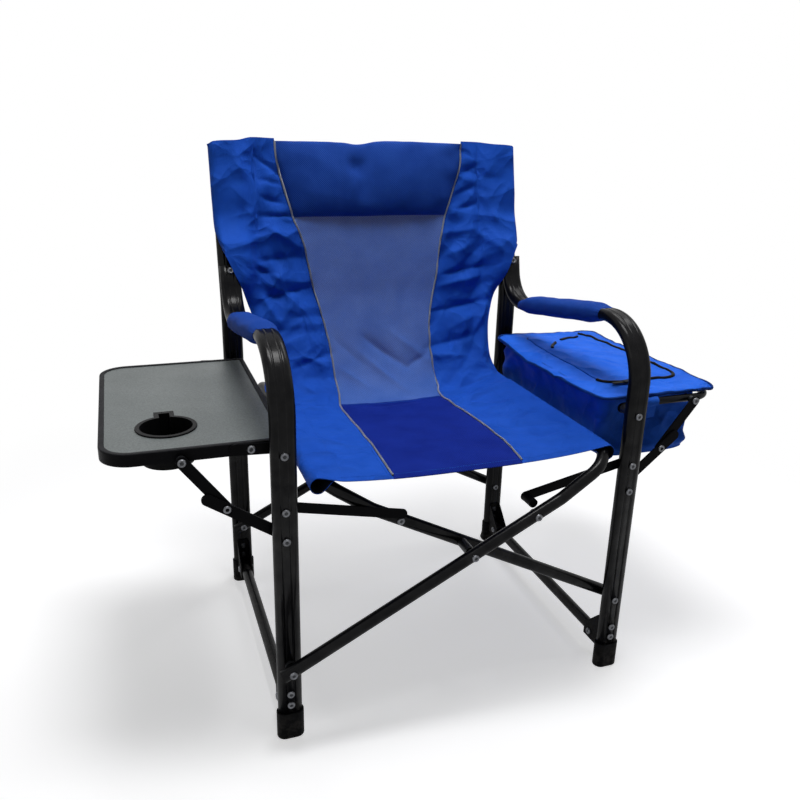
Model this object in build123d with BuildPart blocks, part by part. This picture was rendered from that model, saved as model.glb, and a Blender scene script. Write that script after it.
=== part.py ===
"""Folding camp chair with a side table and a cooler bag, piece by piece, in millimetres.

+X is the sitter's left as seen from the front, +Y is the back of the chair and +Z is up. The origin is
on the floor, in the middle of the open chair's footprint box.
"""

import os
from math import atan2, cos, hypot, radians, sin, tan

from build123d import *

os.makedirs("parts", exist_ok=True)

# ---------------------------------------------------------------- driving dimensions
# Side frames: fluted flat-oval tube
leg_gap = 580.0  # left leg centre to right leg centre
leg_depth = 480.0  # front leg centre to rear leg centre
oval_wide = 38.0
oval_thick = 20.0
oval_wall = 1.6
flute_radius = 3.0
flute_depth = 0.8
flute_spacing = 12.0
arm_front_height = 625.0  # tube centre at the front of the armrest
arm_slope = 3.5  # degrees, falling to the rear
arm_front_bend = 62.0
arm_rear_bend = 50.0
riser_top = 668.0
post_bend_height = 600.0
post_bend_radius = 120.0
post_lean = 12.0  # degrees, leaning back above the bend
post_top = 868.0

# Feet
foot_height = 48.0
foot_wall = 2.6
foot_sole = 6.0
heel_length = 12.0

# Scissor frames: round tube
tube_diameter = 20.0
tube_wall = 1.4
tube_offset = 26.0  # tube centre in front of or behind the legs' centre plane
pivot_height = 138.0
crossing_height = 288.0
rail_inset = 50.0  # seat rail centre to leg centre
rail_height = 428.0
rail_corner_radius = 48.0
kick_reach = 150.0  # where the tube bends up towards the seat rail
kick_radius = 60.0
tube_end = 16.0  # tube beyond its lower pivot

# Lower side rails
side_rail_height = 45.0
side_rail_diameter = 20.0
bracket_top = 98.0
bracket_depth = 44.0
bracket_sheet = 2.0
rail_pin_inset = 38.0

# Rivets and pins
pin_radius = 4.0
pin_play = 0.05
head_radius = 6.0
head_height = 2.2
gap = 0.3  # between pieces that move past each other
bracket_rivet_heights = (83.0, 63.0)

# Seat links
link_height = 397.0
link_reach = 106.0  # inner end of a link, from the chair's middle
link_end_height = 358.0
link_sheet = 2.5
link_wide = 16.0
link_block = 15.0

# Side table
table_pivot_height = 484.0
table_reach = 533.0  # outer edge, from the chair's middle
table_inner = 276.0
table_inset = 28.0  # front and rear edges, from the leg centres
table_top = 495.5
table_thickness = 18.0
table_corner = 45.0
rim_wall = 3.0
rim_lip = 4.0
cup_reach = 438.5
cup_inset = 94.0  # cup centre behind the table's front edge
cup_radius = 38.0
cup_flange = 6.5
cup_depth = 52.0
cup_wall = 2.0
cup_slot = 16.0
cup_slot_reach = 64.0
cup_slot_frame = 7.0
cup_flange_thickness = 2.4
panel_drop = 1.0  # panel below the rim's top edge

# Folding braces under the table and the bag
brace_height = 350.0  # pivot on the leg
brace_pins = {"left": (426.0, 480.0), "right": (422.0, 490.0)}  # on table and bag frame
knees = {"left": (369.0, 403.0), "right": (362.0, 411.0)}
brace_sheet = 3.0
brace_wide = 17.0
brace_tab = 32.0
hinge_bar_length = 40.0
hinge_bar_tail = 22.0

# Cooler bag
bag_tube = 13.0
bag_tube_wall = 1.2
bag_tube_height = 490.0
bag_tube_reach = 474.0
bag_tube_corner = 40.0
bag_inner = 257.0
bag_inset = 46.0
bag_tube_inset = 36.0
bag_bottom = 388.0
bag_wall = 5.0
bag_corner = 22.0
lid_thickness = 9.0
lid_overlap = 14.0
bag_clearance = 6.0  # bag inside its tube frame
flap_margin_inner = 40.0
flap_margin_outer = 34.0
flap_margin_front = 60.0
flap_gap = 0.5
flap_corner = 24.0
tab_reach = 330.0  # fabric tab over the bag's tube, from the chair's middle
tab_width = 26.0
tab_sheet = 1.5
lid_rim = 6.0  # lid beyond the bag in front and behind
lid_drop = 8.0  # lid beyond the bag frame's end

# Sling
fabric = 3.0
sleeve = 2.2
seat_front = -8.0  # front hem, from the front leg centre
seat_rear = 352.0  # seam between seat and back, from the front leg centre
rail_sleeve_end = 428.0
seat_sag_front = 11.0
seat_sag_rear = 23.0
insert_half = 107.0
back_rise = [(30, 13), (59, 33), (85, 70), (106, 113), (122, 153), (131, 183)]  # behind and above the seam
insert_seam = [(747.0, 158.0), (700.0, 143.0), (632.0, 131.0), (547.0, 111.0), (480.0, 105.0)]
insert_top_half = 188.0
free_edge = [(619.0, 268.0), (584.0, 256.0), (530.0, 238.0), (500.0, 234.0), (462.0, 237.0)]
sheet_steps = 10  # points along the back's rear face
corner_drop = 14.0  # back's top corners below its top edge
corner_reach = 62.0
sleeve_bottom = 674.0
back_top = 884.0
pillow_top_half = 184.0
pillow_bottom_half = 156.0
pillow_corner = 16.0
pillow_drop = 8.0  # pillow's top below the back's top edge
pillow_bottom = 752.0
pillow_thick = 28.0
pad_side = 4.0
pad_crown = 7.0
pad_front = 72.0  # armrest pad ends, from the front leg centre
pad_rear = 392.0

# ---------------------------------------------------------------- where things are
bag_outer = bag_tube_reach - bag_tube / 2 - bag_clearance
lid_outer = bag_outer + lid_overlap + lid_drop
middle_x = (table_reach - lid_outer) / 2
lean = radians(post_lean)
back_reach = (back_top - post_bend_height) * tan(lean) + oval_thick / 2 + sleeve + gap
front_y = -(leg_depth + back_reach - tube_offset - tube_diameter / 2) / 2
rear_y = front_y + leg_depth
sides = {"left": -1, "right": 1}
leg_x = {side: middle_x + sign * leg_gap / 2 for side, sign in sides.items()}
shank = pin_radius - pin_play
rail_x = leg_gap / 2 - rail_inset
scissor_angle = atan2(crossing_height - pivot_height, leg_gap / 2)
post_plane = Plane(
    origin=(middle_x, rear_y, post_bend_height),
    x_dir=(1, 0, 0),
    z_dir=(0, -cos(lean), sin(lean)),
)
post_axis = Axis((0, 0, 0), (0, sin(lean), cos(lean)))


def tube_height(across):
    """Height of a scissor tube's centre at a distance from the crossing towards its seat rail."""
    return crossing_height + across * tan(scissor_angle)


def fluted_oval():
    """Section of the side frames' tube: a flat oval with two flutes on each wide face."""
    SlotOverall(oval_wide, oval_thick)
    flute_rise = oval_thick / 2 + flute_radius - flute_depth
    with Locations(
        *[(u * flute_spacing / 2, v * flute_rise) for u in (-1, 1) for v in (-1, 1)]
    ):
        Circle(flute_radius, mode=Mode.SUBTRACT)
    SlotOverall(oval_wide - 2 * oval_wall, oval_thick - 2 * oval_wall, mode=Mode.SUBTRACT)


def round_tube(diameter, wall):
    """Section of a round tube."""
    Circle(diameter / 2)
    Circle(diameter / 2 - wall, mode=Mode.SUBTRACT)


def cross_holes(places, length, radius=pin_radius):
    """Drill holes along Y at (x, y, z) places."""
    with Locations(*places):
        Cylinder(radius, length, rotation=(90, 0, 0), mode=Mode.SUBTRACT)


def rivet(x, z, y_front, y_back, heads=(True, True)):
    """A rivet along Y, with a domed head in front of y_front and a flat head behind y_back."""
    with Locations((x, (y_front + y_back) / 2, z)):
        Cylinder(shank, y_back - y_front, rotation=(90, 0, 0))
    if heads[0]:
        with Locations((x, y_front - head_height / 2, z)):
            Cone(head_radius, head_radius * 0.55, head_height, rotation=(90, 0, 0))
    if heads[1]:
        with Locations((x, y_back + head_height / 4, z)):
            Cylinder(head_radius * 0.85, head_height / 2, rotation=(90, 0, 0))


def bush(x, z, y_front, y_back, outer):
    """A spacer ring along Y around a pin."""
    with Locations((x, (y_front + y_back) / 2, z)):
        Cylinder(outer, y_back - y_front, rotation=(90, 0, 0))
        Cylinder(pin_radius, y_back - y_front, rotation=(90, 0, 0), mode=Mode.SUBTRACT)


def flat_bar(start, end, wide, y_front, sheet, overshoot=0.0):
    """A round-ended bar in an XZ plane from start to end, drilled at both."""
    length = hypot(end[0] - start[0], end[1] - start[1])
    along = (end[0] - start[0], 0, end[1] - start[1])
    bar_plane = Plane(origin=(start[0], y_front + sheet, start[1]), x_dir=along, z_dir=(0, -1, 0))
    with BuildSketch(bar_plane) as bar:
        with Locations((length / 2 + overshoot / 2, 0)):
            SlotCenterToCenter(length + overshoot, wide)
        with Locations((0, 0), (length, 0)):
            Circle(pin_radius, mode=Mode.SUBTRACT)
    extrude(bar.sketch, amount=sheet)


def finish(piece, name):
    """Label a piece and write it."""
    piece.part.label = name
    export_step(piece.part, f"parts/{name}.step")


# ---------------------------------------------------------------- side frames
arm_fall = radians(arm_slope)
riser_shift = -(oval_thick + gap)  # riser centre in front of the post centre, square to the post


def riser_point(height):
    """Centre of the riser at a height: parallel to the leaning post and in front of it."""
    return (rear_y + (height - post_bend_height) * tan(lean) + riser_shift / cos(lean), height)


def arm_height(y):
    """Height of the armrest tube's centre."""
    return arm_front_height - (y - front_y) * tan(arm_fall)


arm_end_y = (riser_point(post_bend_height)[0] + (arm_height(rear_y) - post_bend_height) * tan(lean))
arm_path = [
    (front_y, foot_sole),
    (front_y, arm_front_height),
    (arm_end_y, arm_height(arm_end_y)),
    riser_point(riser_top),
]
post_path = [
    (rear_y, foot_sole),
    (rear_y, post_bend_height),
    (rear_y + (post_top - post_bend_height) * tan(lean), post_top),
]
leg_rivet_heights = (pivot_height, table_pivot_height, link_height, brace_height, *bracket_rivet_heights)
riser_rivets = (56.0,)  # along the post, above its bend

for side, x in leg_x.items():
    with BuildPart() as arm_tube:
        with BuildLine(Plane.YZ.offset(x)):
            FilletPolyline(*arm_path, radius=[arm_front_bend, arm_rear_bend])
        with BuildSketch(Plane(origin=(x, front_y, foot_sole), x_dir=(1, 0, 0), z_dir=(0, 0, 1))):
            fluted_oval()
        sweep()
        cross_holes([(x, front_y, z) for z in leg_rivet_heights], oval_thick + 2)
        with Locations(post_plane):
            with Locations(*[(x - middle_x, up, -riser_shift) for up in riser_rivets]):
                Cylinder(pin_radius, oval_thick + 2, mode=Mode.SUBTRACT)
    finish(arm_tube, f"arm_tube_{side}")

    with BuildPart() as rear_post:
        with BuildLine(Plane.YZ.offset(x)):
            FilletPolyline(*post_path, radius=post_bend_radius)
        with BuildSketch(Plane(origin=(x, rear_y, foot_sole), x_dir=(1, 0, 0), z_dir=(0, 0, 1))):
            fluted_oval()
        sweep()
        cross_holes([(x, rear_y, z) for z in leg_rivet_heights], oval_thick + 2)
        with Locations(post_plane):
            with Locations(*[(x - middle_x, up, 0) for up in riser_rivets]):
                Cylinder(pin_radius, oval_thick + 2, mode=Mode.SUBTRACT)
    finish(rear_post, f"rear_post_{side}")

    with BuildPart() as post_cap:
        post_end = Plane(
            origin=(x, post_path[2][0], post_top), x_dir=(1, 0, 0), z_dir=(0, sin(lean), cos(lean))
        )
        with BuildSketch(post_end):
            SlotOverall(oval_wide, oval_thick)
        extrude(amount=4)
        fillet(post_cap.faces().sort_by(post_axis)[-1].edges(), 2)
        with BuildSketch(post_end):
            SlotOverall(oval_wide - 2 * oval_wall - 0.2, oval_thick - 2 * oval_wall - 0.2)
        extrude(amount=-12)
    finish(post_cap, f"post_cap_{side}")

    for end, y, heel in (("front", front_y, 0.0), ("rear", rear_y, heel_length)):
        with BuildPart() as foot:
            with BuildSketch():
                with Locations((x, y)):
                    SlotOverall(oval_wide + 2 * foot_wall, oval_thick + 2 * foot_wall)
            extrude(amount=foot_height)
            if heel:
                with BuildSketch():
                    with Locations((x, y + heel / 2)):
                        SlotOverall(oval_wide + 2 * foot_wall, oval_thick + 2 * foot_wall + heel)
                extrude(amount=foot_height * 0.42, taper=12)
            fillet(foot.edges().group_by(Axis.Z)[-1], 1.2)
            fillet(foot.edges().group_by(Axis.Z)[0], 2.5)
            with BuildSketch(Plane.XY.offset(foot_sole)):
                with Locations((x, y)):
                    SlotOverall(oval_wide + 0.1, oval_thick + 0.1)
            extrude(amount=foot_height, mode=Mode.SUBTRACT)
        finish(foot, f"foot_{end}_{side}")

    cap_face = oval_thick / 2 + foot_wall + gap
    with BuildPart() as side_rail:
        with BuildSketch(Plane.XZ.offset(-(front_y + cap_face + gap))):
            with Locations((x, side_rail_height)):
                round_tube(side_rail_diameter, tube_wall)
        extrude(amount=-(leg_depth - 2 * (cap_face + gap)))
        rail_pin_places = (front_y + rail_pin_inset, rear_y - rail_pin_inset)
        with Locations(*[(x, y, side_rail_height) for y in rail_pin_places]):
            Cylinder(pin_radius, side_rail_diameter + 2, rotation=(0, 90, 0), mode=Mode.SUBTRACT)
    finish(side_rail, f"side_rail_{side}")

    with BuildPart() as brackets:
        for leg_y, turn in ((front_y, 1), (rear_y, -1)):
            face_y = leg_y + turn * oval_thick / 2
            base_z = side_rail_height - side_rail_diameter / 2 - 3
            inner = side_rail_diameter + 2 * gap
            plate_z = foot_height + gap
            with BuildSketch(Plane.XZ.offset(-face_y)):
                with Locations((x, (plate_z + bracket_top) / 2)):
                    RectangleRounded(inner + 2 * bracket_sheet, bracket_top - plate_z, 4)
                with Locations(*[(x, z) for z in bracket_rivet_heights]):
                    Circle(pin_radius, mode=Mode.SUBTRACT)
            extrude(amount=-turn * bracket_sheet)
            for flank in (-1, 1):
                plate_x = x + flank * (inner / 2 + bracket_sheet / 2)
                with BuildSketch(Plane.YZ.offset(plate_x)):
                    with BuildLine():
                        Polyline(
                            (face_y, plate_z),
                            (leg_y + turn * cap_face, plate_z),
                            (leg_y + turn * cap_face, base_z),
                            (face_y + turn * bracket_depth, base_z),
                            (face_y + turn * bracket_depth, side_rail_height + side_rail_diameter / 2),
                            (face_y + turn * bracket_sheet * 3, bracket_top - 4),
                            (face_y, bracket_top - 4),
                            close=True,
                        )
                    make_face()
                    with Locations((leg_y + turn * rail_pin_inset, side_rail_height)):
                        Circle(pin_radius, mode=Mode.SUBTRACT)
                extrude(amount=bracket_sheet / 2, both=True)
    finish(brackets, f"rail_brackets_{side}")

    with BuildPart() as arm_pad:
        pad_plane = Plane(
            origin=(x, front_y + pad_front, arm_height(front_y + pad_front)),
            x_dir=(1, 0, 0),
            z_dir=(0, cos(arm_fall), -sin(arm_fall)),
        )
        pad_wide = oval_wide + 2 * (gap + pad_side)
        pad_high = oval_thick + 2 * (gap + pad_crown)
        with BuildSketch(pad_plane):
            RectangleRounded(pad_wide, pad_high, pad_high / 2 - 1)
        extrude(amount=(pad_rear - pad_front) / cos(arm_fall))
        fillet(arm_pad.faces().sort_by(Axis.Y)[0].edges(), 3)
        fillet(arm_pad.faces().sort_by(Axis.Y)[-1].edges(), 3)
        with BuildSketch(pad_plane):
            SlotOverall(oval_wide + 2 * gap, oval_thick + 2 * gap)
        extrude(amount=(pad_rear - pad_front) / cos(arm_fall), mode=Mode.SUBTRACT)
    finish(arm_pad, f"arm_pad_{side}")

# ---------------------------------------------------------------- rivets and pivot pins of the side frames
half_oval = oval_thick / 2
tube_near = tube_offset - tube_diameter / 2
tube_far = tube_offset + tube_diameter / 2
hinge_front = table_inset - brace_sheet
brace_low_front = half_oval + 3.5
brace_up_front = brace_low_front + brace_sheet + 0.5

for side, x in leg_x.items():
    with BuildPart() as pins:
        for leg_y, turn in ((front_y, 1), (rear_y, -1)):
            for z in bracket_rivet_heights:
                near, far = sorted((-turn * half_oval, turn * (half_oval + bracket_sheet)))
                rivet(x, z, leg_y + near, leg_y + far)
            # the seat link's pivot stands behind the leg
            rivet(x, link_height, leg_y - half_oval, leg_y + half_oval + gap + link_sheet + gap)
            # brace pivot and table or bag pivot reach from the leg towards the middle of the side
            hinge_seat = hinge_front if side == "left" else bag_tube_inset - brace_sheet / 2
            for z, seat in ((brace_height, brace_low_front), (table_pivot_height, hinge_seat)):
                near, far = sorted((-turn * half_oval, turn * (seat + brace_sheet - gap)))
                rivet(x, z, leg_y + near, leg_y + far, heads=(turn > 0, turn < 0))
                near, far = sorted((turn * half_oval, turn * (seat - gap)))
                bush(x, z, leg_y + near, leg_y + far, head_radius + 1)
            # scissor pivot: the tube lies in front of the left legs and behind the right legs
            if side == "left":
                rivet(x, pivot_height, leg_y - tube_far - gap, leg_y + half_oval)
                bush(x, pivot_height, leg_y - tube_near + gap, leg_y - half_oval, head_radius + 2)
            else:
                rivet(x, pivot_height, leg_y - half_oval, leg_y + tube_far + gap)
                bush(x, pivot_height, leg_y + half_oval, leg_y + tube_near - gap, head_radius + 2)
            with Locations((x, leg_y + turn * rail_pin_inset, side_rail_height)):
                Cylinder(shank, side_rail_diameter + 2 * (gap + bracket_sheet), rotation=(0, 90, 0))
            for flank in (-1, 1):
                face = side_rail_diameter / 2 + gap + bracket_sheet
                with Locations((x + flank * (face + head_height / 2), leg_y + turn * rail_pin_inset, side_rail_height)):
                    Cone(head_radius, head_radius * 0.55, head_height, rotation=(0, 90 * flank, 0))
        with Locations(post_plane):
            for up in riser_rivets:
                with Locations((x - middle_x, up, -riser_shift / 2)):
                    Cylinder(shank, 2 * oval_thick + gap)
                with Locations((x - middle_x, up, -riser_shift + half_oval + head_height / 2)):
                    Cone(head_radius, head_radius * 0.55, head_height)
    finish(pins, f"frame_pins_{side}")

# ---------------------------------------------------------------- scissor frames
for name, sign, shift in (("scissor_a", 1, -tube_offset), ("scissor_b", -1, tube_offset)):
    foot_x = -leg_gap / 2 - tube_end * cos(scissor_angle)
    foot_z = pivot_height - tube_end * sin(scissor_angle)
    outline = [
        (foot_x, front_y + shift, foot_z),
        (kick_reach, front_y + shift, tube_height(kick_reach)),
        (rail_x, front_y + shift, rail_height),
        (rail_x, rear_y + shift, rail_height),
        (kick_reach, rear_y + shift, tube_height(kick_reach)),
        (foot_x, rear_y + shift, foot_z),
    ]
    path_points = [(middle_x + sign * px, py, pz) for px, py, pz in outline]
    rise = (sign * cos(scissor_angle), 0, sin(scissor_angle))
    across = [-leg_gap / 2, 0.0, link_reach]
    with BuildPart() as scissor:
        with BuildLine():
            FilletPolyline(
                *path_points,
                radius=[kick_radius, rail_corner_radius, rail_corner_radius, kick_radius],
            )
        with BuildSketch(Plane(origin=path_points[0], x_dir=(0, 1, 0), z_dir=rise)):
            round_tube(tube_diameter, tube_wall)
        sweep()
        holes = [
            (middle_x + sign * reach, leg_y + shift, tube_height(reach))
            for reach in across
            for leg_y in (front_y, rear_y)
        ]
        cross_holes(holes, tube_diameter + 2)
    finish(scissor, f"{name}_tube")

    with BuildPart() as tube_rivets:
        for leg_y in (front_y, rear_y):
            z = tube_height(link_reach)
            x = middle_x + sign * link_reach
            rivet(x, z, leg_y + shift - tube_diameter / 2, leg_y + shift + tube_diameter / 2)
    finish(tube_rivets, f"{name}_rivets")

with BuildPart() as crossing_pins:
    for leg_y in (front_y, rear_y):
        rivet(middle_x, crossing_height, leg_y - tube_far, leg_y + tube_far + gap)
        bush(middle_x, crossing_height, leg_y - tube_near + gap, leg_y + tube_near - gap, head_radius + 2)
finish(crossing_pins, "crossing_pins")

# ---------------------------------------------------------------- seat links
for side, x in leg_x.items():
    sign = sides[side]
    inner_end = middle_x + sign * link_reach
    block_front = -tube_near + gap if side == "right" else half_oval + gap
    block_back = half_oval + gap + link_sheet
    with BuildPart() as links:
        for leg_y in (front_y, rear_y):
            flat_bar(
                (x, link_height),
                (inner_end, link_end_height),
                link_wide,
                leg_y + half_oval + gap,
                link_sheet,
            )
            with Locations((inner_end, leg_y + (block_front + block_back) / 2, link_end_height)):
                Cylinder(link_block / 2, block_back - block_front, rotation=(90, 0, 0))
    finish(links, f"seat_links_{side}")

# ---------------------------------------------------------------- side table
table_x = middle_x - (table_reach + table_inner) / 2
table_y = (front_y + rear_y) / 2
table_wide = table_reach - table_inner
table_deep = leg_depth - 2 * table_inset
table_bottom = table_top - table_thickness
panel_top = table_top - panel_drop
cup_x = middle_x - cup_reach
cup_y = front_y + table_inset + cup_inset
flange = cup_radius + cup_flange
table_brace_pin = (middle_x - brace_pins["left"][0], brace_pins["left"][1])
hinge_bar_end = (leg_x["left"] - hinge_bar_length, table_pivot_height + 2)


def cup_outline(radius, slot, reach):
    """Plan of the cup with its slot for a mug's handle towards the rear."""
    with Locations((cup_x, cup_y)):
        Circle(radius)
    with Locations((cup_x, cup_y + reach / 2)):
        Rectangle(slot, reach)


def rounded_table(height, inset):
    """Sketch of the table plan at a height, drawn in from its edge by an inset."""
    with BuildSketch(Plane.XY.offset(height)) as plan:
        with Locations((table_x, table_y)):
            Rectangle(table_wide - 2 * inset, table_deep - 2 * inset)
        fillet(plan.vertices().group_by(Axis.X)[0], table_corner - inset)
        fillet(plan.vertices().group_by(Axis.X)[-1], 10 - inset)
    return plan.sketch


with BuildPart() as table_panel:
    extrude(
        rounded_table(table_bottom + 2, rim_wall + gap / 2), amount=table_thickness - 2 - panel_drop
    )
    with BuildSketch(Plane.XY.offset(table_bottom)):
        cup_outline(cup_radius + cup_wall + gap, cup_slot + 2 * cup_wall + 2 * gap, cup_slot_reach - 6)
    extrude(amount=table_thickness + 2, mode=Mode.SUBTRACT)
finish(table_panel, "table_panel")

with BuildPart() as table_rim:
    extrude(rounded_table(table_bottom, 0), amount=table_thickness)
    fillet(table_rim.faces().sort_by(Axis.Z)[-1].edges(), 1.5)
    extrude(rounded_table(table_bottom + 2, rim_wall), amount=table_thickness, mode=Mode.SUBTRACT)
    extrude(
        rounded_table(table_bottom - 1, rim_wall + rim_lip), amount=table_thickness, mode=Mode.SUBTRACT
    )
    cross_holes([(x, table_y, z) for x, z in (table_brace_pin, hinge_bar_end)], leg_depth)
finish(table_rim, "table_rim")

with BuildPart() as cup_holder:
    with BuildSketch(Plane.XY.offset(panel_top)):
        cup_outline(flange, cup_slot + 2 * cup_slot_frame, cup_slot_reach)
    extrude(amount=cup_flange_thickness)
    fillet(cup_holder.faces().sort_by(Axis.Z)[-1].edges(), 0.9)
    with BuildSketch(Plane.XY.offset(panel_top)):
        cup_outline(cup_radius + cup_wall, cup_slot + 2 * cup_wall, cup_slot_reach - cup_slot_frame)
    extrude(amount=-cup_depth, taper=2)
    with BuildSketch(Plane.XY.offset(panel_top + cup_flange_thickness)):
        cup_outline(cup_radius, cup_slot, cup_slot_reach - cup_slot_frame - cup_wall)
    extrude(amount=-(cup_depth + cup_flange_thickness - cup_wall), taper=2, mode=Mode.SUBTRACT)
finish(cup_holder, "cup_holder")

with BuildPart() as hinge_bars:
    for face_y in (front_y + hinge_front, rear_y - table_inset):
        bar_start = (leg_x["left"], table_pivot_height)
        flat_bar(bar_start, hinge_bar_end, brace_wide, face_y, brace_sheet, overshoot=hinge_bar_tail)
finish(hinge_bars, "table_hinge_bars")

with BuildPart() as table_pins:
    rim_inside = table_inset + rim_wall
    for leg_y, turn in ((front_y, 1), (rear_y, -1)):
        near, far = sorted((turn * (brace_up_front - gap), turn * rim_inside))
        rivet(*table_brace_pin, leg_y + near, leg_y + far, heads=(turn > 0, turn < 0))
        near, far = sorted((turn * (brace_up_front + brace_sheet + gap), turn * table_inset))
        bush(*table_brace_pin, leg_y + near, leg_y + far, head_radius + 1)
        near, far = sorted((turn * hinge_front, turn * rim_inside))
        rivet(*hinge_bar_end, leg_y + near, leg_y + far, heads=(turn > 0, turn < 0))
finish(table_pins, "table_pins")

# ---------------------------------------------------------------- folding braces
for side, x in leg_x.items():
    sign = sides[side]
    outer_pin = (middle_x + sign * brace_pins[side][0], brace_pins[side][1])
    knee = (middle_x + sign * knees[side][0], knees[side][1])
    leg_pin = (x, brace_height)
    with BuildPart() as lower_brace:
        for face_y in (front_y + brace_low_front, rear_y - brace_low_front - brace_sheet):
            flat_bar(leg_pin, knee, brace_wide, face_y, brace_sheet, overshoot=brace_tab)
    finish(lower_brace, f"brace_lower_{side}")

    with BuildPart() as upper_brace:
        for leg_y, turn in ((front_y, 1), (rear_y, -1)):
            face_y = leg_y + min(turn * brace_up_front, turn * (brace_up_front + brace_sheet))
            flat_bar(outer_pin, knee, brace_wide, face_y, brace_sheet)
            rivet(*knee, face_y, face_y + brace_sheet, heads=(turn < 0, turn > 0))
    finish(upper_brace, f"brace_upper_{side}")

# ---------------------------------------------------------------- cooler bag
bag_x0 = middle_x + bag_inner
bag_x1 = middle_x + bag_outer
bag_y0 = front_y + bag_inset
bag_y1 = rear_y - bag_inset
bag_top = bag_tube_height + bag_tube / 2 + gap + tab_sheet + gap
lid_x1 = middle_x + lid_outer
lid_y0 = bag_y0 - lid_rim
lid_y1 = bag_y1 + lid_rim

bag_brace_pin = (middle_x + brace_pins["right"][0], brace_pins["right"][1])

with BuildPart() as bag_frame:
    arm_start = leg_x["right"] + 24
    tube_x = middle_x + bag_tube_reach
    with BuildLine(Plane.XY.offset(bag_tube_height)):
        FilletPolyline(
            (arm_start, front_y + bag_tube_inset),
            (tube_x, front_y + bag_tube_inset),
            (tube_x, rear_y - bag_tube_inset),
            (arm_start, rear_y - bag_tube_inset),
            radius=bag_tube_corner,
        )
    with BuildSketch(
        Plane(origin=(arm_start, front_y + bag_tube_inset, bag_tube_height), x_dir=(0, 1, 0), z_dir=(1, 0, 0))
    ):
        round_tube(bag_tube, bag_tube_wall)
    sweep()
    for leg_y, turn in ((front_y, 1), (rear_y, -1)):
        plate_y = leg_y + turn * bag_tube_inset + brace_sheet / 2
        with BuildSketch(Plane.XZ.offset(-plate_y)):
            with BuildLine():
                Polyline(
                    (leg_x["right"], table_pivot_height + brace_wide / 2),
                    (arm_start + 6, bag_tube_height + bag_tube / 2),
                    (arm_start + 6, bag_tube_height - bag_tube / 2),
                    (leg_x["right"], table_pivot_height - brace_wide / 2),
                    close=True,
                )
            make_face()
            with Locations((leg_x["right"], table_pivot_height)):
                Circle(brace_wide / 2)
                Circle(pin_radius, mode=Mode.SUBTRACT)
        extrude(amount=brace_sheet)
    cross_holes([(bag_brace_pin[0], table_y, bag_brace_pin[1])], leg_depth)
finish(bag_frame, "bag_frame")

with BuildPart() as bag_pins:
    for leg_y, turn in ((front_y, 1), (rear_y, -1)):
        near, far = sorted((turn * (brace_up_front - gap), turn * (bag_tube_inset + bag_tube / 2)))
        rivet(*bag_brace_pin, leg_y + near, leg_y + far)
        tube_side = bag_tube_inset - bag_tube / 2
        near, far = sorted((turn * (brace_up_front + brace_sheet + gap), turn * tube_side))
        bush(*bag_brace_pin, leg_y + near, leg_y + far, head_radius)
finish(bag_pins, "bag_pins")

with BuildPart() as bag_body:
    with BuildSketch(Plane.XY.offset(bag_bottom)):
        with Locations(((bag_x0 + bag_x1) / 2, (bag_y0 + bag_y1) / 2)):
            RectangleRounded(bag_x1 - bag_x0, bag_y1 - bag_y0, bag_corner)
    extrude(amount=bag_top - bag_bottom)
    fillet(bag_body.faces().sort_by(Axis.Z)[0].edges(), 10)
    with BuildSketch(Plane.XY.offset(bag_bottom + bag_wall)):
        with Locations(((bag_x0 + bag_x1) / 2, (bag_y0 + bag_y1) / 2)):
            RectangleRounded(
                bag_x1 - bag_x0 - 2 * bag_wall, bag_y1 - bag_y0 - 2 * bag_wall, bag_corner - bag_wall
            )
    extrude(amount=bag_top, mode=Mode.SUBTRACT)
finish(bag_body, "bag_body")

flap_x0 = bag_x0 + flap_margin_inner
flap_x1 = lid_x1 - flap_margin_outer
flap_y0 = lid_y0 + flap_margin_front
flap_y1 = lid_y1 - flap_margin_front / 2

with BuildPart() as bag_rim:
    with BuildSketch(Plane.XY.offset(bag_top)):
        with Locations(((bag_x0 + lid_x1) / 2, (lid_y0 + lid_y1) / 2)):
            RectangleRounded(lid_x1 - bag_x0, lid_y1 - lid_y0, bag_corner)
        with Locations(((flap_x0 + flap_x1) / 2, (flap_y0 + flap_y1) / 2)):
            RectangleRounded(flap_x1 - flap_x0, flap_y1 - flap_y0, flap_corner, mode=Mode.SUBTRACT)
    extrude(amount=lid_thickness)
    fillet(bag_rim.faces().sort_by(Axis.Z)[-1].outer_wire().edges(), 3)
finish(bag_rim, "bag_rim")

with BuildPart() as bag_flap:
    with BuildSketch(Plane.XY.offset(bag_top)):
        with Locations(((flap_x0 + flap_x1) / 2, (flap_y0 + flap_y1) / 2)):
            RectangleRounded(
                flap_x1 - flap_x0 - 2 * flap_gap, flap_y1 - flap_y0 - 2 * flap_gap, flap_corner - flap_gap
            )
    extrude(amount=lid_thickness)
finish(bag_flap, "bag_flap")

with BuildPart() as zip_pull:
    pull_x = flap_x0 + 36
    pull_y = flap_y0 - 9
    with BuildSketch(Plane.XY.offset(bag_top + lid_thickness + gap)):
        with Locations((pull_x, pull_y)):
            RectangleRounded(12, 9, 2)
    extrude(amount=3)
    with BuildSketch(Plane.XY.offset(bag_top + lid_thickness + gap)):
        with Locations((pull_x - 16, pull_y)):
            SlotOverall(26, 7)
    extrude(amount=1.6)
finish(zip_pull, "zip_pull")

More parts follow.
